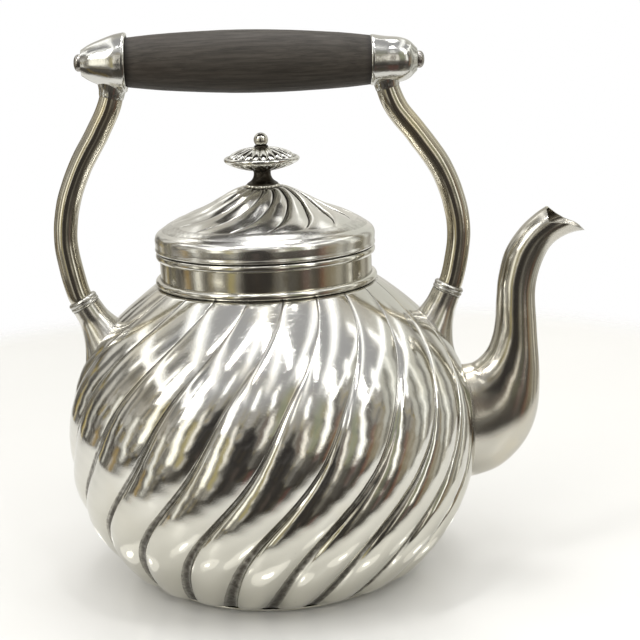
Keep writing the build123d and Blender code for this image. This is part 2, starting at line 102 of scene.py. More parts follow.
def filleted(corners, steps=5, closed=True):
    """Outline with rounded corners. Each corner is (r, z) or (r, z, fillet radius)."""
    pts = [np.array(c[:2], float) for c in corners]
    rad = [c[2] if len(c) > 2 else 0 for c in corners]
    out, n = [], len(pts)
    for i in range(n):
        a, b, c, r = pts[i - 1], pts[i], pts[(i + 1) % n], rad[i]
        if r <= 0 or (not closed and i in (0, n - 1)):
            out.append(b)
            continue
        u, v = (a - b) / np.linalg.norm(a - b), (c - b) / np.linalg.norm(c - b)
        cos_half = math.sqrt(max((1 + float(u @ v)) / 2, 1e-9))
        sin_half = math.sqrt(max(1 - cos_half**2, 1e-9))
        room = 0.49 * min(np.linalg.norm(a - b), np.linalg.norm(c - b))
        reach = min(r * cos_half / sin_half, room)
        r = reach * sin_half / cos_half
        centre = b + (u + v) / np.linalg.norm(u + v) * r / sin_half
        first, last = b + u * reach - centre, b + v * reach - centre
        a0 = math.atan2(first[1], first[0])
        turn = (math.atan2(last[1], last[0]) - a0 + math.pi) % TURN - math.pi
        for k in range(steps + 1):
            w = a0 + turn * k / steps
            out.append(centre + r * np.array([math.cos(w), math.sin(w)]))
    return np.array(out)


def finer(outline, longest=1.6):
    """More points on long runs of an outline, so that dents and normals stay even."""
    out = []
    for a, b in zip(outline[:-1], outline[1:]):
        k = max(1, int(math.ceil(np.linalg.norm(b - a) / longest)))
        out += [a + (b - a) * i / k for i in range(k)]
    out.append(outline[-1])
    return np.array(out)


def finer_loop(outline, longest):
    """The same for a closed outline."""
    return finer(np.vstack([outline, outline[:1]]), longest)[:-1]


def raised(points, z):
    """Outline points (r, height above z) as (r, z)."""
    return [(r, z + height) for r, height in points]


def sampled(line, at):
    """Points of a line at fractional places in its list."""
    i = np.clip(at.astype(int), 0, len(line) - 2)
    part = (at - i)[:, None]
    return line[i] * (1 - part) + line[i + 1] * part


def around(r, angle, z):
    """Grid of points from radius, angle and height: each may be one value, a row or a grid."""
    return np.stack(np.broadcast_arrays(r * np.cos(angle), r * np.sin(angle), z + 0 * angle), -1)


def round_turn(n):
    """n angles, even round a whole turn."""
    return np.linspace(0, TURN, n, endpoint=False)


def from_axis(points):
    """Distance of each point from Z."""
    return np.hypot(points[..., 0], points[..., 1])


def stacked(*parts):
    """One closed grid from (points, darkening) parts. The darkening is one value, or one for each point:
    tarnish, and on a few parts painted shade.
    """
    tarnish_and_shade = [np.broadcast_to(darkening, points.shape[:2]) for points, darkening in parts]
    return np.concatenate([points for points, _ in parts]), True, np.concatenate(tarnish_and_shade)


def added(name, data):
    obj = bpy.data.objects.new(name, data)
    bpy.context.scene.collection.objects.link(obj)
    return obj


def strongest(*layers):
    """The greatest of several values, point by point."""
    return np.maximum.reduce(np.broadcast_arrays(*layers))


def build(name, grids, body, nodes, material, crease=40):
    """One object from grids of points in mm. Each grid: points (rows, columns, 3), wrapped round
    its columns, whether its last row joins its first, and the darkening, for each row or point: tarnish, and
    on a few parts painted shade."""
    verts, faces, darkening, base = [], [], [], 0
    for points, closed_rows, tarnish_and_shade in grids:
        rows, cols = points.shape[:2]
        verts.append(points.reshape(-1, 3) * MM)
        darkening.append(np.broadcast_to(tarnish_and_shade, (rows, cols)).reshape(-1))
        for i in range(rows if closed_rows else rows - 1):
            a, b = base + i * cols, base + ((i + 1) % rows) * cols
            for j in range(cols):
                k = (j + 1) % cols
                faces.append((a + j, a + k, b + k, b + j))
        base += rows * cols
    mesh = bpy.data.meshes.new(name)
    mesh.from_pydata(np.vstack(verts).tolist(), [], faces)
    layer = mesh.attributes.new("tarnish_and_shade", "FLOAT", "POINT")
    layer.data.foreach_set("value", np.concatenate(darkening))
    bm = bmesh.new()
    bm.from_mesh(mesh)
    bmesh.ops.remove_doubles(bm, verts=bm.verts, dist=2e-7)
    bmesh.ops.dissolve_degenerate(bm, edges=bm.edges, dist=1e-8)
    bmesh.ops.holes_fill(bm, edges=[e for e in bm.edges if e.is_boundary], sides=0)
    bmesh.ops.recalc_face_normals(bm, faces=bm.faces)
    bm.to_mesh(mesh)
    bm.free()
    mesh.shade_smooth()
    mesh.set_sharp_from_angle(angle=math.radians(crease))
    mesh.materials.append(material)
    obj = added(name, mesh)
    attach(obj, body)
    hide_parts(*nodes)


def lathe_rows(outline, columns=160, wobble=0.0, seed=0):
    """Grid for an outline (r, z) turned round Z, with slow hand-made waviness."""
    a, r, z = round_turn(columns), outline[:, :1], outline[:, 1:2]
    if wobble:
        rng = np.random.default_rng(seed)
        wave = sum(
            rng.uniform(0.3, 1) / k * np.sin(k * a + 0.13 * k * z + rng.uniform(0, 6.3))
            for k in (2, 3, 5, 7, 11)
        )
        r = r + wobble * wave * unit(r / 10)
    return around(r, a, z)


def placed(points, origin, z_dir):
    """Local points set at an origin, with local Z along z_dir and local X along the frame's Y."""
    z = np.array(z_dir, float)
    z /= np.linalg.norm(z)
    x = np.array([0.0, 1.0, 0.0])
    y = np.cross(z, x)
    return points[..., :1] * x + points[..., 1:2] * y + points[..., 2:3] * z + np.array(origin, float)


def tube_rows(line, radius, columns):
    """Grid for a round bar along a line (x, z) in the handle's plane, with one radius per point."""
    t = np.gradient(line, axis=0)
    t /= np.linalg.norm(t, axis=1)[:, None]
    side = np.stack([-t[:, 1], t[:, 0]], 1)
    a, radius = round_turn(columns), radius[:, None]
    x, z = [line[:, k:k + 1] + side[:, k:k + 1] * radius * np.cos(a) for k in (0, 1)]
    return np.stack([x, radius * np.sin(a), z], -1)


# ---------------- materials
class Output:
    """A node's output, and the sums that further nodes do with it."""

    def __init__(self, socket):
        self.socket = socket
        self.tree = socket.id_data

    def __add__(self, other):
        return maths("ADD", self, other)

    def __sub__(self, other):
        return maths("SUBTRACT", self, other)

    def __mul__(self, other):
        return maths("MULTIPLY", self, other)

    def __truediv__(self, other):
        return maths("DIVIDE", self, other)


def feed(socket, value):
    """Wire an output to a socket, or set a plain value on it. A colour is (red, green, blue)."""
    if isinstance(value, Output):
        value.tree.links.new(value.socket, socket)
    else:
        socket.default_value = value + (1,) if socket.type == "RGBA" else value


def node(tree, kind, **values):
    n = tree.nodes.new("ShaderNode" + kind)
    for key, value in values.items():
        if key in n.inputs.keys():
            feed(n.inputs[key], value)
        else:
            setattr(n, key, value)
    return n


def output(tree, kind, which=0, **values):
    return Output(node(tree, kind, **values).outputs[which])


def maths(operation, a, b=0.0, clamp=False):
    n = node(a.tree, "Math", operation=operation, use_clamp=clamp)
    feed(n.inputs[0], a)
    feed(n.inputs[1], b)
    return Output(n.outputs[0])


def mix(factor, a, b):
    """Blend from colour a to colour b."""
    n = node(factor.tree, "Mix", data_type="RGBA")
    for socket, value in zip((n.inputs[0], n.inputs[6], n.inputs[7]), (factor, a, b)):
        feed(socket, value)
    return Output(n.outputs[2])


def noise(at, scale, detail=3.0, rough=0.55, stretch=None, distortion=0.0):
    if stretch:
        at = output(at.tree, "Mapping", Vector=at, Scale=stretch)
    settings = dict(Scale=scale, Detail=detail, Roughness=rough, Distortion=distortion)
    return output(at.tree, "TexNoise", Vector=at, **settings)


def ramp(value, low, high, a=0.0, b=1.0):
    """a below low, b above high, and a smooth step between."""
    ends = {"From Min": low, "From Max": high, "To Min": a, "To Max": b}
    return output(value.tree, "MapRange", Value=value, interpolation_type="SMOOTHSTEP", **ends)


def start(name):
    """A new material, its shader, and the coordinates of the object that wears it."""
    m = bpy.data.materials.new(name)
    m.use_nodes = True
    return m, m.node_tree.nodes["Principled BSDF"], output(m.node_tree, "TexCoord", "Object")


def surface(shader, colour, rough, height, strength, distance):
    """Colour, roughness, and relief of a strength over a distance in metres."""
    feed(shader.inputs["Base Color"], colour)
    feed(shader.inputs["Roughness"], rough)
    relief = output(height.tree, "Bump", Strength=strength, Distance=distance, Height=height)
    feed(shader.inputs["Normal"], relief)


def tarnish_and_shade_at(place):
    return output(place.tree, "Attribute", "Fac", attribute_name="tarnish_and_shade")


YELLOWED, SPOT, GRIME_AND_SHADE = (0.70, 0.62, 0.44), (0.10, 0.08, 0.06), (0.042, 0.035, 0.027)
GRIME_AND_SHADE_FROM, GRIME_AND_SHADE_FULL = 0.28, 0.78      # value of the tarnish layer at which grime and painted shade start, and cover
LOW_REFLECTION_ZONE = 0.030, 0.085                  # metres up: from the low tone, a painted dim reflection of the floor, to the plain one


def silver(name, tone=(0.66, 0.645, 0.585), yellow=0.3, rough=0.10, dents=1.0, low=None):
    """Worn silver plate: bright, faintly yellow in patches, black-brown where tarnish gathers, and where the
    same layer paints dark reflections. A low tone, if given, is a painted dim reflection of the floor on the
    lower body.
    """
    m, shader, at = start(name)
    shader.inputs["Metallic"].default_value = 1.0
    colour = mix(ramp(noise(at, 34, 3), 0.46, 0.70) * yellow, tone, YELLOWED)
    # a darker, warmer tone low on the body: a painted dim reflection of the floor in the lower lobes
    if low:
        height = output(at.tree, "SeparateXYZ", "Z", Vector=at)
        colour = mix(ramp(height, *LOW_REFLECTION_ZONE, 1.0, 0.0), colour, low)
    # grime where the tarnish is, and painted shade where the same layer marks it, with a ragged edge, and
    # loose spots of it
    ragged = tarnish_and_shade_at(at) + (noise(at, 420, 5, 0.65) - 0.5) * 0.40
    grime_and_shade = ramp(ragged, GRIME_AND_SHADE_FROM, GRIME_AND_SHADE_FULL)
    spots = ramp(noise(at, 900, 2, 0.5), 0.70, 0.80) * 0.5 * ramp(noise(at, 60, 2), 0.45, 0.65)
    colour = mix(grime_and_shade, mix(spots, colour, SPOT), GRIME_AND_SHADE)
    # polish is uneven, and dull under the grime and the painted shade
    polish = noise(at, 95, 4, 0.6, stretch=(1, 1, 0.45)) * 0.12 + (rough - 0.06)
    polish = maths("ADD", polish, grime_and_shade * 0.34, clamp=True)
    # shallow dents, scratches and the edge of the grime and painted shade
    scratch = ramp(noise(at, 210, 2, 0.7, stretch=(1, 9, 3.5), distortion=0.4), 0.60, 0.66)
    relief = noise(at, 150, 2, 0.5) * (0.32 * dents) + noise(at, 1250, 3, 0.6) * (0.30 * dents)
    surface(shader, colour, polish, relief - scratch * 0.05 - grime_and_shade * 0.25, 0.55, 0.00016)
    return m


def dark_wood(name):
    """Old dark wood: long grain, open pores, blackened where it is dirty."""
    m, shader, at = start(name)
    grain = noise(at, 850, 6, 0.7, stretch=(0.05, 1, 1), distortion=0.2)
    pit = ramp(noise(at, 2200, 3, 0.6, stretch=(0.04, 1, 1)), 0.60, 0.72) * 0.7
    browner = ramp(noise(at, 45, 3, 0.5, stretch=(0.35, 1, 1)), 0.45, 0.7) * 0.5
    colour = mix(ramp(grain, 0.30, 0.76), (0.030, 0.026, 0.021), (0.070, 0.060, 0.050))
    colour = mix(browner, colour, (0.058, 0.044, 0.035))
    colour = mix(pit, colour, (0.012, 0.010, 0.009))
    colour = mix(tarnish_and_shade_at(at), colour, (0.010, 0.008, 0.007))
    shader.inputs["Specular IOR Level"].default_value = 0.35
    surface(shader, colour, ramp(grain, 0.3, 0.8, 0.62, 0.50), grain * 0.5 - pit * 0.8, 0.6, 0.00018)
    return m


def plain_metal(name, tone, rough):
    m, shader, at = start(name)
    shader.inputs["Metallic"].default_value = 1.0
    turned = noise(at, 500, 4, 0.6, stretch=(1, 1, 6))
    colour = mix(ramp(turned, 0.35, 0.7), tone, tuple(0.6 * c for c in tone))
    surface(shader, colour, ramp(turned, 0.3, 0.7, rough, rough + 0.15), turned, 0.3, 0.00008)
    return m


# the body's low tone is a painted dim reflection of the floor on the lower lobes
SILVER = silver("silver_body", (0.675, 0.665, 0.625), dents=0.55, low=(0.585, 0.57, 0.505))
SILVER_LID = silver("silver_lid", (0.73, 0.722, 0.685), yellow=0.15, rough=0.17, dents=0.8)
SILVER_TRIM = silver("silver_trim", yellow=0.25, dents=0.5)
SILVER_NECK = silver("silver_neck", (0.56, 0.54, 0.475), yellow=0.4, rough=0.12, dents=0.5)
SILVER_ARM = silver("silver_arms", (0.55, 0.52, 0.44), yellow=0.8, rough=0.12, dents=0.35)
SILVER_SOCKET = silver("silver_collars", (0.62, 0.605, 0.56), yellow=0.2, rough=0.20, dents=0.8)
# a darker copy of the silver for the spout: painted shade, standing in for the darker room it reflects
SILVER_SPOUT_PAINTED_DARK = silver("silver_spout_painted_dark", (0.51, 0.49, 0.435), rough=0.15, dents=0.7)
SILVER_CAP = silver("silver_caps", (0.58, 0.575, 0.545), yellow=0.1, rough=0.12, dents=1.1)
SILVER_DISC = silver("silver_disc", (0.74, 0.735, 0.70), yellow=0.1, rough=0.12, dents=0.5)
SILVER_DULL = silver("silver_dull", (0.47, 0.46, 0.43), yellow=0.1, rough=0.26)
WOOD = dark_wood("grip_wood")
STEEL = plain_metal("rod_steel", (0.45, 0.45, 0.46), 0.3)
DARK_METAL = plain_metal("nut_metal", (0.42, 0.40, 0.37), 0.2)
BRASS = plain_metal("fitting_brass", (0.72, 0.55, 0.28), 0.25)


# ---------------- body
TOE_SPREAD = 3.5            # the toes reach this much higher at the sides of a lobe
RIB_ROUND = 2.15            # roundness of a lobe: 2 is a plain arc
WAVE, WAVE_ROOM = 0.035, 0.14   # unevenness of the sheet, and the room left for it
RIB_STEPS, CHANNEL_STEPS, BODY_ROWS = 27, 12, 200


def toe(rise, height=TOE_H):
    """How far the foot of a lobe draws in at a rise above the base plate."""
    return TOE_IN * unit(1 - rise / height) ** 3


def belly(t):
    """Radius over the lobes at a part t of the body's height."""
    low, high = unit(1 - t / EQUATOR), unit((t - EQUATOR) / (1 - EQUATOR))
    below = BASE_R + (BODY_R - BASE_R) * (1 - low**BELLY) - toe(t * BODY_H)
    above = SHOULDER_R + (BODY_R - SHOULDER_R) * (1 - high**BELLY)
    return np.where(t < EQUATOR, below, above)


def sunk(points, depth):
    """How far points lie inside the belly, less a depth."""
    return belly(body_share(points[..., 2])) - depth - from_axis(points)


def groove_depth(t):
    return LOBE_DEPTH * (LOBE_FADE + (1 - LOBE_FADE) * (1 - t * t))


def body_share(z):
    """Height z as a part of the body's height."""
    return unit((z - PLATE_T) / BODY_H)


def body_piece():
    """Each lobe is a rounded rib, then a hollow channel. Both run from 0 to 1 along the turn."""
    x = np.linspace(0, 1, RIB_STEPS)
    x = x - 0.35 * np.sin(TURN * x) / TURN      # closer together at the rib's sides
    y = np.linspace(0, 1, CHANNEL_STEPS)[1:-1]
    on_rib = np.tile(np.r_[np.ones(len(x)), np.zeros(len(y))], LOBES) > 0.5
    along = np.tile(np.r_[x, y], LOBES)[None]
    side = np.abs(2 * along - 1)
    lobe = np.repeat(np.arange(LOBES), len(x) + len(y))
    s = np.linspace(0, 1, BODY_ROWS)
    t = (s + 0.10 * np.sin(TURN * s) / TURN)[:, None]
    rise = t * BODY_H

    # the channel straddles the line between two lobes, and narrows upwards
    width = TURN * belly(t) / LOBES
    spread = 1 + 0.10 * RNG.normal(0, 1, LOBES)[lobe][None]
    left = (0.35 + 3.9 * (1 - t) ** 1.6) * spread / width
    right = (0.30 + 1.4 * (1 - t) ** 1.6) * spread / width
    channel = left + right
    part = np.where(on_rib, right + along * (1 - channel), 1 - left + channel * along)
    turn = GROOVE_START + TWIST * t - TWIST_SWAY * np.sin(TURN * t) ** 2
    stray = RNG.normal(0, 1, LOBES)[lobe] * 0.25 * np.sin(math.pi * t)
    angle = np.radians(turn + (lobe + part) * 360 / LOBES + stray)

    # how far each point lies inside the belly's outline
    on_lobe = groove_depth(t) * np.abs(2 * along**0.92 - 1) ** RIB_ROUND
    on_lobe = on_lobe + toe(rise, TOE_H + TOE_SPREAD * side**5) - toe(rise)
    on_lobe = on_lobe + 0.55 * (1 - t) ** 0.7 * unit(1 - along / 0.10) ** 2
    hollow = (0.20 + 1.05 * (1 - t) ** 1.3) * np.sin(math.pi * along) ** 0.8
    ridge = 0.30 * falloff(along - 0.5, 0.16) * unit((t - 0.35) / 0.3) * unit((1 - t) / 0.08)
    in_channel = groove_depth(t) + toe(rise, TOE_H + TOE_SPREAD) - toe(rise) + hollow - ridge
    in_channel = in_channel + 0.55 * (1 - t) ** 0.7 * along**2
    run_out = 0.30 + 0.70 * unit(rise / 7) ** 0.8               # the channels run out at the foot
    drop = np.where(on_rib, on_lobe, in_channel) * run_out
    slow = sum(
        RNG.uniform(0.4, 1) * np.sin(a * angle + b * t * 6.3 + RNG.uniform(0, 6.3))
        for a, b in ((3, 2), (5, 3), (8, 5), (13, 9), (21, 4), (34, 17))
    )
    r = belly(t) - drop - WAVE_ROOM - WAVE * slow * np.sin(math.pi * unit(t))
    outer = around(r, angle, PLATE_T + rise)

    # tarnish: in the channels, low between the toes, and along both seams
    low_gap = 0.6 * np.exp(-rise / 6)
    rib_dirt = np.maximum(unit(side - 0.93) / 0.07 * np.where(along < 0.5, 0.25, 0.55), low_gap * side**3)
    channel_dirt = np.maximum(0.36 + 0.33 * np.sin(math.pi * along) ** 0.5 - 0.5 * ridge / 0.3, low_gap + 0.1)
    darkening = strongest(
        np.where(on_rib, rib_dirt, channel_dirt),
        falloff((1 - t) * BODY_H, 0.8) * 0.45,
        falloff(rise, 0.8) * 0.4,
    )

    # smooth inner wall, back down to the base
    down = np.linspace(1, 0, 60)[:, None]
    inner_r = belly(down) - groove_depth(down) - WALL - 3.0 * unit(1 - down * BODY_H / 20) ** 2
    inner = around(inner_r, angle[-1], PLATE_T + BODY_H * down)
    build("body_lobes", [stacked((outer, darkening), (inner, 0.45))], "kettle", ["body_shell"], SILVER, 60)


def base_piece():
    outline = filleted([
        (0, 0), (PLATE_R - 0.7, 0, 0.3), (PLATE_R, 0.35, 0.3), (PLATE_R, PLATE_T, 0.2), (0, PLATE_T),
    ], closed=False)
    outline = finer(outline, 4)
    rows = lathe_rows(outline, 256, 0.02, 3)
    darkening = np.where(outline[:, 1:] > 1.0, 0.45, 0.3)
    build("base_disc", [(rows, False, darkening)], "kettle", ["base_plate"], SILVER_TRIM)


body_piece()
base_piece()


# ---------------- neck
def ring(name, node_name, body, outline, shade, wobble, seed, material=SILVER_TRIM, columns=256):
    """Turned ring. shade gives the darkening at a point (r, z) of its outline: tarnish, and on the finial's
    stem a painted dark reflection as well.
    """
    outline = finer_loop(outline, 1.2)
    rows = lathe_rows(outline, columns, wobble, seed)
    darkening = np.array([[shade(r, z)] for r, z in outline])
    build(name, [(rows, True, darkening)], body, [node_name], material)


def crevice(*places, most=0.65):
    """Tarnish that gathers within a width of given (r, z, width) places of an outline."""
    def at(r, z):
        return most * max(math.exp(-((math.hypot(r - a, z - b) / w) ** 2)) for a, b, w in places)
    return at


def half_round(low, high, outer, bulge):
    """Outline of a bead on the neck: straight back and round front."""
    mid, tall = (low + high) / 2, (high - low) / 2
    turns = np.radians(np.linspace(-90, 90, 18))
    front = [(outer - bulge + bulge * math.cos(w), mid + tall * math.sin(w)) for w in turns]
    return np.array([(NECK_R, low)] + front + [(NECK_R, high)])


BEAD_LOW, BEAD_HIGH = SHOULDER_Z + 0.15, SHOULDER_Z + FOOT_BEAD_H
RIM_LOW = NECK_TOP - 3.1

ring(
    "neck_collar", "neck_band", "kettle",
    filleted([
        (NECK_BORE, SHOULDER_Z - NECK_TUCK), (NECK_R, SHOULDER_Z - NECK_TUCK, 0.2),
        (NECK_R, NECK_TOP, 0.25), (NECK_BORE, NECK_TOP, 0.25),
    ]),
    crevice((NECK_R, BEAD_HIGH, 0.6), (NECK_R, RIM_LOW, 0.5)), 0.07, 4, SILVER_NECK,
)
ring(
    "neck_bead", "neck_foot_bead", "kettle", half_round(BEAD_LOW, BEAD_HIGH, FOOT_BEAD_R, 1.6),
    crevice((NECK_R + 0.9, SHOULDER_Z, 0.7), (NECK_R + 0.2, BEAD_HIGH, 0.5)), 0.04, 5,
)
ring(
    "neck_moulding", "neck_rim", "kettle", half_round(RIM_LOW, NECK_TOP, RIM_R, 1.1),
    crevice((NECK_R + 0.2, RIM_LOW, 0.4), (NECK_R + 0.4, NECK_TOP, 0.8), most=0.95), 0.04, 6,
)

# ---------------- lid
# Radius and height above the lid's lower edge: bead, side, shoulder, ogee and dished crown
LID_OUTSIDE = (
    (45.1, 0), (45.7, 0.12), (46.05, 0.7), (45.98, 1.3), (45.8, 1.75), (45.86, 2.5), (45.95, 3.6),
    (46.0, 5.1), (45.6, 6.4), (44.8, 7.4), (43.5, 8.3), (41.6, 9.45), (38.8, 11.2), (35.0, 13.2),
    (30.6, 15.0), (26.5, 16.6), (22.4, 18.6), (19.0, 20.6), (15.5, 22.5), (12.2, 24.1), (10.4, 24.8),
    (9.2, 25.0), (8.5, 24.8), (7.9, 24.55), (7.0, 24.5),
)
LID_INSIDE = (
    (STUD_R, 24.0), (9.0, 23.75), (13.5, 21.3), (20.5, 17.3), (28.0, 14.2), (34.5, 12.5), (38.3, 11.4),
    (41.4, 9.8), (43.8, 7.7), (LID_BORE_R, 5.5), (LID_BORE_R, 0.1),
)
FLUTE_STEPS, FLUTE_DEEP, FLUTE_CREST = 30, 1.25, 0.40
FLUTE_END_R, LINE_END_R, DISH_R = 40.5, 42.0, 7.7       # where flutes and their lines fade out


def lid_piece():
    """Each flute climbs to its crest, then falls slowly to a cut line beside the next one."""
    outline = np.vstack([[(LID_BORE_R, LID_Z + 0.05)], spline(raised(LID_OUTSIDE, LID_Z), 190)])
    r, z = outline[:, :1], outline[:, 1:]
    u = np.linspace(0, 1, FLUTE_STEPS, endpoint=False)
    u = np.tile(u - 0.55 * np.sin(TURN * u) / TURN, LID_FLUTES)[None]
    flute = np.repeat(np.arange(LID_FLUTES), FLUTE_STEPS)[None]
    angle = np.radians(FLUTE_START + FLUTE_TWIST * (z - LID_SHOULDER_Z) + (flute + u) * 360 / LID_FLUTES)
    on_top = z > LID_Z + 8

    reach = unit((FLUTE_END_R - r) / 13.0) * on_top * unit((r - DISH_R + 0.1) / 1.2)
    depth = FLUTE_DEEP * reach * reach * (3 - 2 * reach) * np.clip(r / 16, 0.30, 1)
    climb = (unit(FLUTE_CREST - u) / FLUTE_CREST) ** 2.4
    w = unit(u - FLUTE_CREST) / (1 - FLUTE_CREST)
    fall = climb + 0.5 * w**2 + 0.5 * (0.5 - 0.5 * np.cos(math.pi * w**1.2))
    to_line = np.minimum(u, 1 - u) * TURN * r / LID_FLUTES
    line = unit((LINE_END_R - r) / 5) * on_top * unit((r - DISH_R - 0.2) / 0.8)
    cut = falloff(to_line, 0.48) * 0.22 * line
    slow = sum(
        RNG.uniform(0.4, 1) * np.sin(a * angle + RNG.uniform(0, 6.3) + 0.2 * z) for a in (2, 3, 5, 7, 12)
    )
    outer = around(r - 0.02 * slow, angle, z - depth * fall - cut - 0.025 * slow * on_top)

    darkening = strongest(
        falloff(to_line, 0.5) * line * 0.95,
        unit((fall - 0.78) / 0.22) * reach * 0.6,
        falloff(r - DISH_R, 0.9) * (z > LID_Z + 20) * 0.75,
        falloff(np.hypot(r - 45.2, z - LID_Z), 0.5) * 0.6,
        falloff(np.hypot(r - 45.8, z - LID_Z - 1.75), 0.3) * 0.35,
    )

    around_stud = around(STUD_R, angle[-1][None], CROWN_Z - 1.0)
    inside = spline(raised(LID_INSIDE, LID_Z), 60)
    inside = around(inside[:, :1], angle[-1][None], inside[:, 1:])
    grid = stacked((outer, darkening), (around_stud, 0.8), (inside, 0.4))
    build("lid_fluted", [grid], "lid", ["lid_dome"], SILVER_LID, 60)


lid_piece()
ring(
    "lid_flange", "lid_bezel", "lid",
    filleted([
        (BEZEL_IN, LID_Z - BEZEL_DROP, 0.3), (BEZEL_R, LID_Z - BEZEL_DROP, 0.3), (BEZEL_R, LID_Z + 0.2, 0.4),
        (LID_BORE_R, LID_Z + 0.2), (LID_BORE_R, LID_Z + 1.3), (BEZEL_IN, LID_Z + 1.3, 0.3),
    ]),
    lambda r, z: 0.3, 0.03, 9, columns=192,
)

# ---------------- finial
FOOT_Z = CROWN_Z - 1.0          # the foot ring sits in the crown's dish
STEM_Z = FOOT_Z + 1.6
DISC_Z = CROWN_Z + 6.2
BALL_Z = DISC_Z + DISC_H
FOOT_R, SCALLOPS, RIBS, RIB_POINTS = 7.45, 9, 22, 20
# Radius, and height above the disc's lower face
DISC_OUTSIDE = (
    (4.4, 0.0), (7.6, 0.7), (11.0, 1.65), (13.8, 2.85), (15.2, 3.75), (15.7, 4.5), (15.65, 5.15),
    (15.15, 5.65), (14.3, 6.05), (12.6, 7.1), (10.4, 8.15), (8.0, 8.95), (5.6, 9.4), (3.6, DISC_H),
)
DISC_EDGE_H, RIB_END_R, RIM_IN_R = 4.9, 14.0, 14.7


def foot_ring_piece():
    """Small ring with a scalloped edge."""
    outline = filleted([
        (STUD_R, FOOT_Z), (FOOT_R - 0.55, FOOT_Z, 0.2), (FOOT_R, FOOT_Z + 0.8, 0.75),
        (FOOT_R - 0.55, STEM_Z, 0.5), (STUD_R, STEM_Z),
    ], 6)
    rows = lathe_rows(finer_loop(outline, 0.35), 216)
    a, r = np.arctan2(rows[..., 1], rows[..., 0]), from_axis(rows)
    scallop = np.abs(np.sin(SCALLOPS * a)) ** 0.7
    rows[..., :2] *= (1 - 0.075 * unit((r - 6.2) / 1.0) * (1 - scallop))[..., None]
    darkening = np.where(r > 6.4, 0.75 * (1 - scallop) ** 1.5, 0.8)
    darkening = np.where(rows[..., 2] < FOOT_Z + 0.25, 0.8, darkening)
    build("finial_foot_ring", [(rows, True, darkening)], "lid", ["finial_foot"], SILVER_TRIM)


def stem_piece():
    side = [(6.5, 0), (6.45, 0.3), (5.7, 0.85), (4.6, 1.7), (3.85, 2.9), (3.55, 4.1)]
    side = spline(raised(side, STEM_Z) + [(3.6, DISC_Z - 0.5), (3.9, DISC_Z)], 34)
    outline = np.vstack([[(STUD_R, STEM_Z)], side, [(STUD_R, DISC_Z)]])
    # the stem is blackened all over: partly oxide, partly a painted dark reflection
    ring("finial_stem_turned", "finial_stem", "lid", outline, lambda r, z: 0.74, 0, 8, columns=96)


def disc_piece():
    """Ribbed lens: rounded ribs above and below a plain beaded rim."""
    lens = spline(DISC_OUTSIDE, 130)
    r, z = lens[:, :1], lens[:, 1:]
    u = np.tile(np.linspace(0, 1, RIB_POINTS, endpoint=False), RIBS)[None]
    angle = TURN * (np.repeat(np.arange(RIBS), RIB_POINTS)[None] + u) / RIBS + 0.07
    top_side = z > DISC_EDGE_H
    across = np.abs(2 * u - 1)
    tip = np.sqrt(unit((RIB_END_R - r) / 2.0))                  # ribs end in round tips inside the rim
    rib = np.sqrt(unit(1 - (across / np.clip(tip, 0.05, 1)) ** 2)) * tip**0.5
    rib = np.where(across < tip, rib, 0)
    rib = np.where(top_side, rib, 1 - across**3)
    inside = unit((RIM_IN_R - r) / 0.5) * unit((r - 2.5) / 3)
    drop = np.where(top_side, 1.0, 0.6) * inside * (1 - rib)
    outer = around(r - 0.2 * drop, angle, DISC_Z + z + np.where(top_side, -1.0, 1.0) * drop)
    bore = around(STUD_R, angle, DISC_Z + np.array([[DISC_H], [0.0]]))
    between_ribs = unit((0.42 - rib) / 0.42) * inside * np.where(top_side, 0.78, 0.5)
    darkening = np.maximum(between_ribs, falloff(r - RIM_IN_R, 0.25) * 0.5)
    grid = stacked((outer, darkening), (bore, 0.9))
    build("finial_ribbed_disc", [grid], "lid", ["finial_disc"], SILVER_DISC, 70)


def ball_piece():
    """Ball on a small collar."""
    centre = BALL_Z + 0.8 + math.sqrt(BEAD_R**2 - BEAD_FOOT_R**2)
    collar = [(STUD_R, 0), (2.85, 0), (2.95, 0.35), (2.75, 0.75), (2.2, 0.95)]
    turns = np.radians(np.linspace(-52, 90, 28))
    ball = [(BEAD_R * math.cos(w), centre + BEAD_R * math.sin(w)) for w in turns]
    outline = np.array(raised(collar, BALL_Z) + ball)
    outline[-1, 0] = 0
    rows = lathe_rows(finer(outline, 0.6), 72)
    z = rows[..., 2]
    # dark round the collar under the ball; darker towards the top of the ball, a painted dark reflection
    darkening = np.maximum(falloff(z - BALL_Z - 0.6, 1.1) * 0.85, unit((z - centre - 1.4) / 1.4) * 0.6)
    build("finial_ball", [(rows, False, darkening)], "lid", ["finial_bead"], SILVER_TRIM)


foot_ring_piece()
stem_piece()
disc_piece()
ball_piece()

# ---------------- handle
HALF_GRIP = GRIP_L / 2
GRIP_SWELL = ((0.22, 12.65), (0.5, 12.05), (0.78, 11.15), (1.0, 10.0))    # part of the half length, radius
STUB_SEAM = SHOULDER_Z + 78.6
STUB_L = 8.5
SOCKET_R, SOCKET_ROWS = 6.1, 60

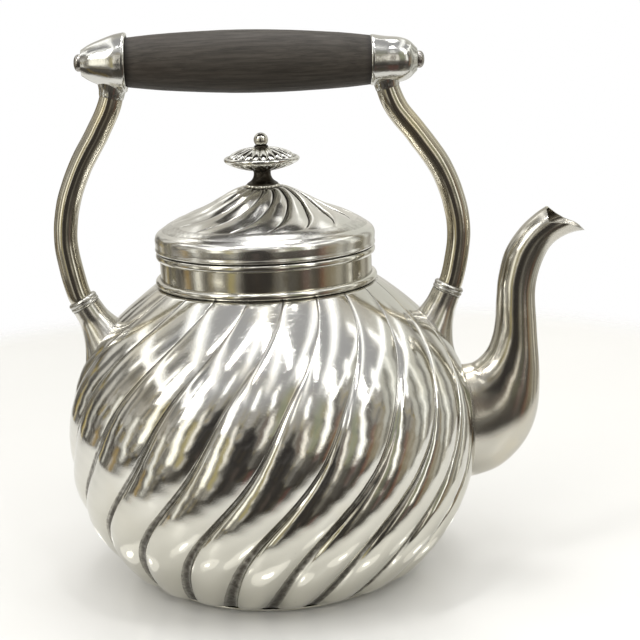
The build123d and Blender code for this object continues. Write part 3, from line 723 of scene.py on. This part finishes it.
# For each side: the collar's middle (x, z) and the arm's direction there, the radius of the
# socket's foot, the arm's middle line (x, height above the shoulder), and the cap's outline
# (distance beyond the grip's end, radius)
LEFT = dict(
    side=-1, collar=(-77.2, SHOULDER_Z - 6.0), up=(-0.486, 0.874), flare=14.6,
    arm=(
        (-81.4, 8.1), (-82.9, 20.7), (-80.8, 35.7), (-75.1, 50.4), (-66.7, 64.9), (-61.2, 76.0),
        (-59.0, 86.0),
    ),
    cap=((0.0, 11.9), (1.2, 12.1), (5.0, 11.3), (9.6, 9.6), (15.0, 7.3), (18.2, 5.3)),
)
RIGHT = dict(
    side=1, collar=(76.6, SHOULDER_Z - 6.35), up=(0.41, 0.912), flare=12.9,
    arm=(
        (79.8, 4.1), (81.5, 17.0), (80.1, 29.2), (74.7, 44.5), (64.4, 59.9), (56.7, 70.0), (53.2, 78.2),
        (52.0, 86.0),
    ),
    cap=((0.0, 10.15), (1.2, 10.35), (6.5, 9.6), (12.0, 9.1), (15.8, 7.8), (19.2, 4.7)),
)


def along_grip(points):
    return placed(points, GRIP_AT, (math.cos(GRIP_DROP), 0, -math.sin(GRIP_DROP)))


def on_collar(points, spec):
    """Local points set on a collar's middle, with Z along the arm."""
    (x, z), (across, up) = spec["collar"], spec["up"]
    return placed(points, (x, 0, z), (across, 0, up))


def grip_piece():
    right = [(r, HALF_GRIP * part) for part, r in GRIP_SWELL]
    left = [(r, -z) for r, z in reversed(right)]
    swell = spline(left + [(GRIP_R, 0)] + right, 150)
    spigot = [(SPIGOT_R, HALF_GRIP), (SPIGOT_R, HALF_GRIP + SPIGOT_L), (0, HALF_GRIP + SPIGOT_L)]
    outline = np.vstack([[(r, -z) for r, z in reversed(spigot)], swell, spigot])
    rows = lathe_rows(outline, 128, 0.05, 12)
    darkening = falloff(np.abs(rows[..., 2]) - HALF_GRIP, 1.6) * 0.7
    build("grip_turned", [(along_grip(rows), False, darkening)], "kettle", ["grip"], WOOD, 50)


def arm_line(spec):
    """Middle line (x, z) of an arm, and its last length, which runs on inside the ferrule's stub."""
    collar, up = np.array(spec["collar"]), np.array(spec["up"])
    tang = [collar + up * d for d in (-COLLAR_HALF - TANG_L, -5, COLLAR_HALF - 0.6, COLLAR_HALF + 1.2)]
    line = spline(tang + [(x, SHOULDER_Z + h) for x, h in spec["arm"]], 400)
    seam = [np.interp(STUB_SEAM, line[:, 1], line[:, 0]), STUB_SEAM]
    below = line[:, 1] <= STUB_SEAM
    beyond = np.vstack([seam, line[~below]])
    return np.vstack([line[below], seam]), beyond[np.linalg.norm(beyond - seam, axis=1) < STUB_L]


def arm_piece(name, spec, line):
    rng = np.random.default_rng(20 + spec["side"])
    along = np.linspace(0, 1, len(line))
    radius = ARM_R - 0.12 * along + 0.03 * np.sin(along * 23 + rng.uniform(0, 6)) + 0.02 * np.sin(along * 61)
    rows = tube_rows(line, radius, 56)
    above_collar = (line - spec["collar"]) @ np.array(spec["up"]) - COLLAR_HALF
    darkening = np.maximum(
        falloff(np.linalg.norm(line - line[-1], axis=1), 0.9) * 0.45, falloff(above_collar, 0.8) * 0.5,
    )[:, None]
    build(name + "_arm_bowed", [(rows, False, darkening)], "kettle", [name + "_arm"], SILVER_ARM, 50)


def collar_piece(name, spec):
    """Ring with two beads."""
    outline = filleted([
        (4.97, -COLLAR_HALF), (5.9, -COLLAR_HALF, 0.4), (6.5, -0.95, 0.8), (6.15, -0.02, 0.3),
        (6.5, 0.95, 0.8), (5.9, COLLAR_HALF, 0.4), (4.97, COLLAR_HALF),
    ], 6)
    rows = lathe_rows(finer_loop(outline, 0.6), 96)
    darkening = falloff(from_axis(rows) - 6.1, 0.3) * falloff(rows[..., 2], 0.4) * 0.5
    rows = on_collar(rows, spec)
    build(name + "_collar_ring", [(rows, True, darkening)], "kettle", [name + "_collar"], SILVER_DULL, 60)


def socket_piece(name, spec):
    """Trumpet foot. Each line of it runs down until it meets the lobed body."""
    flare = spec["flare"]
    swell = flare - SOCKET_R
    outline = spline([
        (SOCKET_R, -COLLAR_HALF), (6.25, -4.5), (6.6, -8), (SOCKET_R + 0.33 * swell, -14.5),
        (SOCKET_R + 0.65 * swell, -19.5), (flare, -23.5), (flare + 4, -27),
    ], 90)
    under = [(flare + 3.7, -27.4)] + [(flare + d, -27.6) for d in (2, 0, -2, -4, -6)]
    outline = np.vstack([outline, under])
    lines = on_collar(lathe_rows(outline, 144), spec)
    inside = sunk(lines, 0.8) > 0
    stop = np.where(inside.any(axis=0), np.argmax(inside, axis=0), len(outline) - 1)
    rows = np.stack([sampled(lines[:, j], np.linspace(0, k, SOCKET_ROWS)) for j, k in enumerate(stop)], 1)
    to_body = np.linalg.norm(rows - rows[-1:], axis=2)
    under_collar = falloff(np.arange(SOCKET_ROWS), 2.0)[:, None] * 0.45
    darkening = np.maximum(falloff(np.clip(to_body - 0.8, 0, None), 0.9) * 0.42, under_collar)
    build(name + "_socket_foot", [(rows, False, darkening)], "kettle", [name + "_socket"], SILVER_SOCKET, 60)


def ferrule_piece(name, spec, stub_line):
    """Cap on the grip's end, with the stub that the arm is soldered to."""
    side, lip = spec["side"], spec["cap"][0][1]

    def beyond_grip(points):
        return np.array([(r, side * (HALF_GRIP + d)) for d, r in points])

    mouth = beyond_grip([
        (1.6, SPIGOT_R), (1.5, lip - 1.5), (0.2, lip - 1.2), (0, lip - 0.9), (0.02, lip - 0.15),
        (0.35, lip + 0.12),
    ])
    cap = beyond_grip(spec["cap"])
    end_r, end = cap[-1]
    tail = [(end_r - 0.5, end), (3.3, end), (2.0, end)]
    rows = lathe_rows(finer(np.vstack([mouth, spline(cap[1:], 60), tail]), 0.8), 128, 0.03, 30 + side)
    r, z = from_axis(rows), rows[..., 2]
    beyond = np.abs(z) - HALF_GRIP
    round_nut = falloff(r - 3.6, 0.5) * (np.abs(z - end) < 0.3) * 0.9
    darkening = np.maximum(round_nut, (beyond > 0.1) * (beyond < 1.8) * (r < lip - 0.8) * 0.95)

    rise = np.linspace(0, 1, len(stub_line))
    stub = tube_rows(stub_line, 5.0 + 0.15 * unit(rise * 8) + 2.4 * rise**2, 64)
    stub_dirt = falloff(rise, 0.08)[:, None] * 0.4
    build(name + "_ferrule_cap", [(along_grip(rows), False, darkening), (stub, False, stub_dirt)],
          "kettle", [name + "_ferrule"], SILVER_CAP, 50)


def nut_piece(name, spec):
    """Domed nut on the tie rod's end."""
    side = spec["side"]
    end = side * (HALF_GRIP + spec["cap"][-1][0])
    outline = [(2.0, end - side * 0.2), (3.3, end), (NUT_R, end + side * 0.25)]
    for w in np.radians(np.linspace(5, 90, 14)):
        outline.append((NUT_R * math.cos(w) ** 0.8, end + side * (NUT_GRIP + NUT_DOME * math.sin(w))))
    outline = np.array(outline)
    outline[-1, 0] = 0
    rows = lathe_rows(finer(outline, 0.5), 72)
    darkening = falloff(rows[..., 2] - end, 0.5) * 0.9
    build(name + "_nut_dome", [(along_grip(rows), False, darkening)], "kettle", [name + "_nut"], DARK_METAL)


grip_piece()
for name, spec in (("left", LEFT), ("right", RIGHT)):
    arm, stub = arm_line(spec)
    arm_piece(name, spec, arm)
    collar_piece(name, spec)
    socket_piece(name, spec)
    ferrule_piece(name, spec, stub)
    nut_piece(name, spec)

# ---------------- spout
# Each station: back and front of the outline, as x beyond the body's radius and part of the
# body's height, then half the width, and how pointed the front is
STATIONS = (
    ((-16.0, 0.68), (-12.0, 0.275), 15.0, 0.0),
    ((-3.0, 0.68), (2.0, 0.29), 14.6, 0.0),
    ((1.4, 0.69), (11.5, 0.32), 14.0, 0.0),
    ((6.1, 0.728), (21.7, 0.4), 12.8, 0.0),
    ((8.5, 0.774), (27.0, 0.494), 11.2, 0.0),
    ((9.7, 0.825), (28.6, 0.615), 9.8, 0.0),
    ((10.4, 0.908), (27.5, 0.795), 8.8, 0.0),
    ((11.5, 0.985), (27.0, 0.94), 8.2, 0.0),
    ((14.7, 1.072), (30.6, 1.04), 8.1, 0.0),
    ((20.6, 1.14), (35.2, 1.092), 8.1, 0.15),
    ((27.4, 1.189), (43.0, 1.122), 8.4, 0.45),
    ((34.0, 1.222), (54.0, 1.13), 8.0, 0.9),
)
POINT_SCALE = 10            # the station's last number, brought near the others for the spline
SPOUT_COLUMNS, SPOUT_ROWS, SPOUT_INNER_ROWS = 120, 220, 120
# The mouth's edge in side view, in the stations' units: all above it is cut away
MOUTH_NEAR = ((31.3, 1.213), (31.6, 1.166), (35.4, 1.166), (39.6, 1.159), (48.1, 1.127), (70, 1.127))
MOUTH_FAR = ((32.0, 1.213), (37.2, 1.179), (40.9, 1.160), (45.4, 1.147), (48.1, 1.127), (70, 1.127))
BELOW_MOUTH = 40            # rows of the spout that never reach the mouth


def above_line(x, z, edge):
    """Positive above an edge, whose first run is steep and faces back."""
    edge_x, edge_z = np.array(edge).T * [[1], [BODY_H]] + [[BODY_R], [PLATE_T]]
    level = np.where(x < edge_x[0], -5.0, z - np.interp(x, edge_x, edge_z))
    lean = (edge_x[1] - edge_x[0]) / (edge_z[0] - edge_z[1])
    behind = x - (edge_x[0] + (edge_z[0] - z) * lean)
    return np.where((x >= edge_x[0] - 6) & (x < edge_x[1]), behind, level)


def above_mouth(points):
    """Positive above the mouth's edge, which is cut lower on the near side."""
    x, y, z = points.T
    far_side = unit((y + 2.5) / 5)
    return above_line(x, z, MOUTH_NEAR) * (1 - far_side) + above_line(x, z, MOUTH_FAR) * far_side


def spout_skin(inset):
    """Grid of the whole spout, uncut, drawn in by a wall's thickness."""
    stations = np.array([(b[0], b[1], f[0], f[1], wide, point) for b, f, wide, point in STATIONS])
    dense = spline(stations * [1, BODY_H, 1, BODY_H, 1, POINT_SCALE], 240)
    back, front = dense[:, :2] + [BODY_R, PLATE_T], dense[:, 2:4] + [BODY_R, PLATE_T]
    half_width, point = dense[:, 4:5], unit(dense[:, 5:] / POINT_SCALE)
    run = front - back
    run = run / np.linalg.norm(run, axis=1, keepdims=True)
    back, front = back + run * inset, front - run * inset * (1 + point)
    middle, reach = (back + front) / 2, np.linalg.norm(front - back, axis=1, keepdims=True) / 2
    a = round_turn(SPOUT_COLUMNS)
    taper = 1 - point * 0.55 * unit(-np.cos(a)) ** 1.5
    x = middle[:, :1] - run[:, :1] * reach * np.cos(a)
    z = middle[:, 1:] - run[:, 1:] * reach * np.cos(a)
    return np.stack([x, (half_width - inset) * np.sin(a) * taper, z], -1)


def trimmed(skin, shares):
    """Rows of a skin at shares of the way from the body's wall (0) to the mouth's edge (1)."""
    columns = []
    for j in range(skin.shape[1]):
        line = skin[:, j]
        inside = sunk(line, 1.2)
        i = np.flatnonzero(inside < 0)[0]
        first = i - inside[i] / (inside[i] - inside[i - 1]) if i else 0.0
        over = above_mouth(line)
        cut = np.flatnonzero(over[BELOW_MOUTH:] > 0)
        last = len(line) - 1.001
        if len(cut):
            k = cut[0] + BELOW_MOUTH
            last = k - 1 - over[k - 1] / max(over[k] - over[k - 1], 1e-6)
        columns.append(sampled(line, first + (last - first) * shares))
    return np.stack(columns, 1)


def spout_piece():
    share = np.linspace(0, 1, SPOUT_ROWS)
    outer = trimmed(spout_skin(0), share)
    inner = trimmed(spout_skin(SPOUT_WALL), np.linspace(1, 0, SPOUT_INNER_ROWS))
    lip = outer[-1:] * 0.5 + inner[:1] * 0.5
    lip[..., 2] += 0.25
    rng = np.random.default_rng(5)
    share = share[:, None]
    a = round_turn(SPOUT_COLUMNS)
    slow = sum(
        rng.uniform(0.3, 1) * np.sin(k * a + rng.uniform(0, 6) + m * share)
        for k, m in ((2, 13), (3, 29), (4, 47))
    )
    outer[..., 1] *= 1 + 0.006 * slow * unit(1 - share) * unit(share * 8)

    to_root = np.linalg.norm(outer - outer[:1], axis=2)
    to_lip = np.linalg.norm(outer - outer[-1:], axis=2)
    darkening = strongest(
        falloff(np.clip(to_root - 0.8, 0, None), 0.9) * 0.45,
        falloff(to_lip - 0.9, 0.5) * 0.35,
        unit((outer[..., 0] - BODY_R - 40.0) / 6) * 0.45,           # the beak's tip, darker: a painted dark reflection
    )
    inside_dirt = 0.7 - 0.3 * unit((inner[..., 2] - PLATE_T - BODY_H * 1.13) / 3)
    grid = stacked((outer, darkening), (lip, 0.0), (inner, inside_dirt))
    build("spout_beaked", [grid], "kettle", ["spout"], SILVER_SPOUT_PAINTED_DARK, 45)


spout_piece()

# ---------------- CAD pieces that stay
FINISH = {
    "hinge_bracket": SILVER_TRIM, "hinge_pin": BRASS, "lid_knuckle": SILVER_TRIM,
    "tie_rod": STEEL, "finial_stud": BRASS, "finial_washer": BRASS, "finial_nut": BRASS,
}
for name, material in FINISH.items():
    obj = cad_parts[name]
    obj.data.materials.clear()
    obj.data.materials.append(material)
    soft = obj.modifiers.new("edge", "BEVEL")
    soft.width, soft.segments, soft.limit_method, soft.angle_limit = 0.00012, 2, "ANGLE", math.radians(35)
    soft.harden_normals = True

# ---------------- floor (metres from here on)
FLOOR_NEAR, FLOOR_FAR = 0.31, 0.39          # the floor is whole inside one radius, gone outside the other
FLOOR_BACK, FLOOR_Z = 0.20, -0.0004         # its middle lies behind the kettle
FLOOR_REACH, FLOOR_SIDES = 0.7, 64


def floor_object():
    edge = around(FLOOR_REACH, round_turn(FLOOR_SIDES), FLOOR_Z) + [0, FLOOR_BACK, 0]
    mesh = bpy.data.meshes.new("floor")
    mesh.from_pydata(edge.tolist(), [], [tuple(range(FLOOR_SIDES))])
    mesh.materials.append(floor_material())
    return added("floor", mesh)


def floor_material():
    """Pale and plain, and clear beyond the floor's edge."""
    m, shader, at = start("floor_pale")
    feed(shader.inputs["Base Color"], mix(noise(at, 6, 3), (0.80, 0.795, 0.78), (0.84, 0.837, 0.825)))
    shader.inputs["Roughness"].default_value = 0.25
    shader.inputs["Specular IOR Level"].default_value = 0.6
    reach = node(at.tree, "VectorMath", operation="DISTANCE")
    feed(reach.inputs[0], at)
    reach.inputs[1].default_value = (0, FLOOR_BACK, 0)
    feed(shader.inputs["Alpha"], ramp(Output(reach.outputs["Value"]), FLOOR_NEAR, FLOOR_FAR, 1.0, 0.0))
    return m


floor = floor_object()

# ---------------- lights
# Name, place, aim, width, height, watts, colour
LIGHTS = (
    ("window_left", (-1.2, -0.75, 1.25), (0, 0, 0.1), 0.32, 0.9, 5.5, (1.0, 0.99, 0.96)),
    ("window_right", (1.0, -0.8, 1.3), (0, 0, 0.1), 0.22, 0.7, 2.8, (1.0, 1.0, 0.98)),
    ("lamp_left", (-0.3, -0.3, 1.5), (0, 0, 0), 0.05, 0.6, 2.4, (1.0, 1.0, 1.0)),
    ("lamp_right", (0.22, -0.42, 1.5), (0, 0, 0), 0.05, 0.6, 2.0, (1.0, 1.0, 1.0)),
    ("overhead", (0.1, 0.5, 1.7), (0, 0, 0), 0.6, 0.6, 5, (1.0, 1.0, 1.0)),
    ("fill_front", (0, -0.9, 0.42), (0, -0.05, 0), 0.9, 0.5, 3.0, (1.0, 1.0, 0.99)),
)
# Small lights on the floor round the foot: azimuth (0 towards the camera), distance, width
GLEAMS = (
    (-150, 0.084, 0.018), (-104, 0.09, 0.016), (-62, 0.083, 0.018), (-30, 0.092, 0.014), (-4, 0.082, 0.018),
    (26, 0.09, 0.016), (60, 0.083, 0.018), (102, 0.09, 0.016), (146, 0.084, 0.018),
)
# Each gleam is a bright core in a faint halo: kind, share of the width, radiance, lift
GLEAM_PARTS = (("core", 0.6, 1.5, 0.0002), ("halo", 2.1, 0.28, 0.0))
GLEAM_Z, GLEAM_FLAT, GLEAM_COLOUR = 0.003, 0.4, (1.0, 0.99, 0.97)


def area(name, at, look, width, height, power, colour):
    light = bpy.data.lights.new(name, "AREA")
    light.shape, light.size, light.size_y = "RECTANGLE", width, height
    light.energy, light.color = power, colour
    obj = added(name, light)
    obj.location = at
    obj.rotation_euler = (Vector(look) - Vector(at)).to_track_quat("-Z", "Y").to_euler()
    return obj


def gleam(name, azimuth, reach, wide, radiance, lift):
    w = math.radians(azimuth)
    x, y = reach * math.sin(w), -reach * math.cos(w)
    power = math.pi * wide * wide * GLEAM_FLAT * radiance
    aim = (x * 0.6, y * 0.6, 0.08)
    obj = area(name, (x, y, GLEAM_Z + lift), aim, wide, wide * GLEAM_FLAT, power, GLEAM_COLOUR)
    obj.data.shape = "ELLIPSE"
    obj.visible_camera = obj.visible_diffuse = False


for light in LIGHTS:
    area(*light)
bpy.data.objects["fill_front"].visible_glossy = False
for k, (azimuth, reach, wide) in enumerate(GLEAMS):
    for kind, share, radiance, lift in GLEAM_PARTS:
        gleam("gleam_%s_%02d" % (kind, k), azimuth, reach, share * wide, radiance, lift)

# ---------------- room that the silver reflects
# Patches of colour on the walls: ends in azimuth (0 towards the camera), ends in height, both in
# degrees, then colour and strength
FRONT_PATCHES = (
    (-92, 44, -75, -17, (0.05, 0.045, 0.04), 0.85),
    (-70, -60, -60, -20, (0.22, 0.17, 0.08), 0.8),
    (-48, -40, -60, -24, (0.16, 0.14, 0.12), 0.8),
    (14, 24, -60, -22, (0.17, 0.09, 0.075), 0.8),
    (-22, 9, -22, 18, (0.036, 0.033, 0.033), 0.92),
    (-13, 3, 12, 30, (0.036, 0.033, 0.033), 0.9),
    (-10, -4, -22, -9, (0.28, 0.22, 0.19), 0.6),
    (-38, -31, -12, 24, (0.58, 0.5, 0.22), 0.8),
    (-54, -44, -6, 36, (2.2, 2.15, 1.9), 0.85),
    (-79, -72, -14, 20, (1.5, 1.5, 1.4), 0.8),
    (-96, -87, -15, -3, (0.5, 0.33, 0.1), 0.7),
    (10, 20, 4, 30, (0.13, 0.085, 0.07), 0.7),
    (40, 50, -16, -2, (0.4, 0.16, 0.15), 0.5),
    (28, 40, -6, 50, (0.42, 0.45, 0.32), 0.7),
    (45, 54, -2, 44, (2.2, 2.2, 2.1), 0.85),
    (17, 23, 0, 28, (1.8, 1.75, 1.6), 0.8),
    (-31, -26, 2, 34, (1.9, 1.85, 1.7), 0.75),
    (55, 63, -18, 38, (0.11, 0.1, 0.09), 0.7),
    (44, 100, -42, -14, (0.09, 0.08, 0.07), 0.7),
    (24, 42, -18, 6, (0.1, 0.09, 0.085), 0.65),
    (-26, 78, -24, -3, (0.05, 0.045, 0.04), 0.6),
    (62, 70, -24, 14, (0.3, 0.13, 0.09), 0.55),
    (68, 86, -18, 12, (0.42, 0.36, 0.25), 0.6),
)
BACK_PATCHES = (
    (-128, -118, -14, 30, (0.06, 0.055, 0.05), 0.8),
    (-109, -101, -12, 36, (0.07, 0.06, 0.05), 0.75),
    (-147, -139, -12, 30, (0.09, 0.08, 0.07), 0.7),
    (-134, -128, -10, 6, (0.62, 0.48, 0.16), 0.6),
    (-118, -106, 26, 66, (0.12, 0.115, 0.105), 0.6),
    (-93, -84, 28, 62, (0.13, 0.125, 0.115), 0.6),
    (-71, -64, 30, 56, (0.13, 0.125, 0.115), 0.55),
    (58, 66, 30, 58, (0.14, 0.135, 0.125), 0.5),
    (-117, -112, -6, 16, (0.8, 0.78, 0.7), 0.8),
    (84, 165, -40, 44, (0.78, 0.78, 0.71), 0.75),
    (84, 150, -15, 1, (0.42, 0.38, 0.3), 0.55),
    (92, 98, -30, 40, (0.16, 0.15, 0.13), 0.75),
    (103, 107, -10, 40, (1.7, 1.7, 1.6), 0.8),
    (114, 122, -30, 30, (0.14, 0.13, 0.12), 0.75),
    (138, 146, -30, 30, (0.24, 0.22, 0.19), 0.7),
)
# Small lamps: azimuth, lower end, upper end
LAMP_SPOTS = (
    (-146, 36, 50), (-112, 30, 46), (-80, 34, 50), (-52, 28, 44), (-20, 40, 58), (10, 34, 50), (40, 42, 58),
    (74, 32, 48), (108, 36, 52),
)
# Strips on the ceiling, by left side, near end, width and length on a ceiling one unit up
CEILING_STRIPS = (
    (-1.30, -0.9, 0.20, 2.0), (-0.62, -0.6, 0.13, 1.7), (-0.08, -0.7, 0.13, 1.9), (0.42, -0.6, 0.13, 1.7),
    (1.05, -0.9, 0.20, 2.0),
)

world = bpy.data.worlds.new("room")
bpy.context.scene.world = world
world.use_nodes = True
tree = world.node_tree
direction = output(tree, "TexCoord", "Generated")
to_right, to_back, upward = [Output(socket) for socket in node(tree, "SeparateXYZ", Vector=direction).outputs]
true_azimuth = maths("ARCTAN2", to_right, to_back * -1.0) * (180 / math.pi)
true_height = maths("ARCSINE", upward) * (180 / math.pi)
azimuth = true_azimuth + noise(direction, 5, 2) * 6.0       # shifted here and there: few edges are straight
height = true_height + noise(direction, 6, 2) * 5.0


def span(value, low, high, soft):
    """1 between low and high, fading over soft at each end."""
    return ramp(value, low - soft, low + soft) * ramp(value, high - soft, high + soft, 1.0, 0.0)


def streaks(across_scale, up_scale, low, high, seed):
    """Upright streaks: noise in azimuth, drawn out in height."""
    spot = output(tree, "CombineXYZ", X=azimuth * across_scale, Y=height * up_scale, Z=seed)
    return ramp(noise(spot, 1.0, 2.0, 0.5), low, high)


def patched(walls, left, right, low, high, colour, part, soft):
    return mix(span(azimuth, left, right, soft) * span(height, low, high, soft) * part, walls, colour)


def clutter_colour():
    """Blocks of dark and mid colour, with a few pale and ochre ones."""
    grid = dict(distance="CHEBYCHEV", Scale=13.0, Randomness=0.9)
    cells = output(tree, "TexVoronoi", "Color", Vector=direction, **grid)
    lighter, pale, ochre = [Output(socket) for socket in node(tree, "SeparateColor", Color=cells).outputs]
    blocks = mix(ramp(lighter, 0.35, 0.65), (0.05, 0.043, 0.036), (0.36, 0.345, 0.31))
    blocks = mix(ramp(pale, 0.80, 0.86), blocks, (0.80, 0.78, 0.72))
    return mix(ramp(ochre, 0.84, 0.90), blocks, (0.42, 0.32, 0.10))


def front_walls(clutter):
    walls = mix(streaks(0.05, 0.03, 0.40, 0.60, 3.0), (0.26, 0.245, 0.215), (0.50, 0.48, 0.44))
    walls = mix(streaks(0.10, 0.04, 0.57, 0.68, 23.0) * 0.7, walls, (0.46, 0.38, 0.17))
    walls = mix(streaks(0.13, 0.05, 0.60, 0.68, 41.0), walls, (0.06, 0.055, 0.05))
    walls = mix(span(height, -80, 26, 6.0) * 0.55, walls, clutter)
    for patch in FRONT_PATCHES:
        walls = patched(walls, *patch, 3.0)
    return walls


def room_colour():
    """Walls and clutter all round, a paler wall behind, lamps, and a ceiling with strips of light."""
    clutter = clutter_colour()
    room = mix(ramp(height, 30, 54), front_walls(clutter), (0.50, 0.50, 0.51))
    wall_behind = mix(streaks(0.04, 0.02, 0.35, 0.65, 57.0), (0.58, 0.56, 0.51), (0.84, 0.82, 0.76))
    behind = ramp(to_back, 0.06, 0.30) * ramp(height, -36, -20) * ramp(height, 52, 72, 1.0, 0.0)
    room = mix(behind, room, wall_behind)
    room = patched(room, -156, -96, -30, 15, clutter, 0.95, 2.0)
    for patch in BACK_PATCHES:
        room = patched(room, *patch, 2.0)
    for az, low, high in LAMP_SPOTS:
        lamp = span(true_azimuth, az, az + 6, 2.5) * span(true_height, low, high, 2.5)
        room = mix(lamp, room, (2.6, 2.6, 2.55))
    level = maths("MAXIMUM", upward, 0.2)
    across, deep = to_right / level, to_back / level
    for left, near, wide, long in CEILING_STRIPS:
        strip = span(across, left, left + wide, 0.07) * span(deep, near, near + long, 0.35)
        room = mix(strip * ramp(upward, 0.35, 0.5), room, (2.0, 2.0, 1.98))
    return room


# The room lights and is reflected; what the camera sees beyond the floor is plain white
reflected = tree.nodes["Background"]
feed(reflected.inputs["Color"], room_colour())
plain = node(tree, "Background", Color=(1, 1, 1), Strength=1.0)
either = node(tree, "MixShader", Fac=output(tree, "LightPath", "Is Camera Ray"))
feed(either.inputs[1], Output(reflected.outputs[0]))
feed(either.inputs[2], Output(plain.outputs[0]))
feed(tree.nodes["World Output"].inputs["Surface"], Output(either.outputs[0]))

# ---------------- camera
IMAGE_PX, FOCAL_PX, AIM_PX = 640, 1510, 52.6        # AIM_PX: how far the kettle's axis is off the middle
CAMERA_AT = (0, -0.626, 0.2454)
YAW, PITCH, ROLL = math.atan(AIM_PX / FOCAL_PX), math.radians(12.3), math.radians(2.03)

scene = bpy.context.scene
scene.view_settings.view_transform = "Standard"
scene.view_settings.look = "None"
camera_data = bpy.data.cameras.new("camera")
camera = added("camera", camera_data)
scene.camera = camera
camera_data.sensor_width = 36.0
camera_data.lens = camera_data.sensor_width * FOCAL_PX / IMAGE_PX
camera_data.clip_start, camera_data.clip_end = 0.05, 20
ahead = Vector((math.sin(YAW), math.cos(YAW), 0))
forward = ahead * math.cos(PITCH) + Vector((0, 0, -math.sin(PITCH)))
level = Vector((math.cos(YAW), -math.sin(YAW), 0))
right = level * math.cos(ROLL) - level.cross(forward) * math.sin(ROLL)
turn = Matrix((right, right.cross(forward), -forward)).transposed().to_4x4()
camera.matrix_world = Matrix.Translation(CAMERA_AT) @ turn
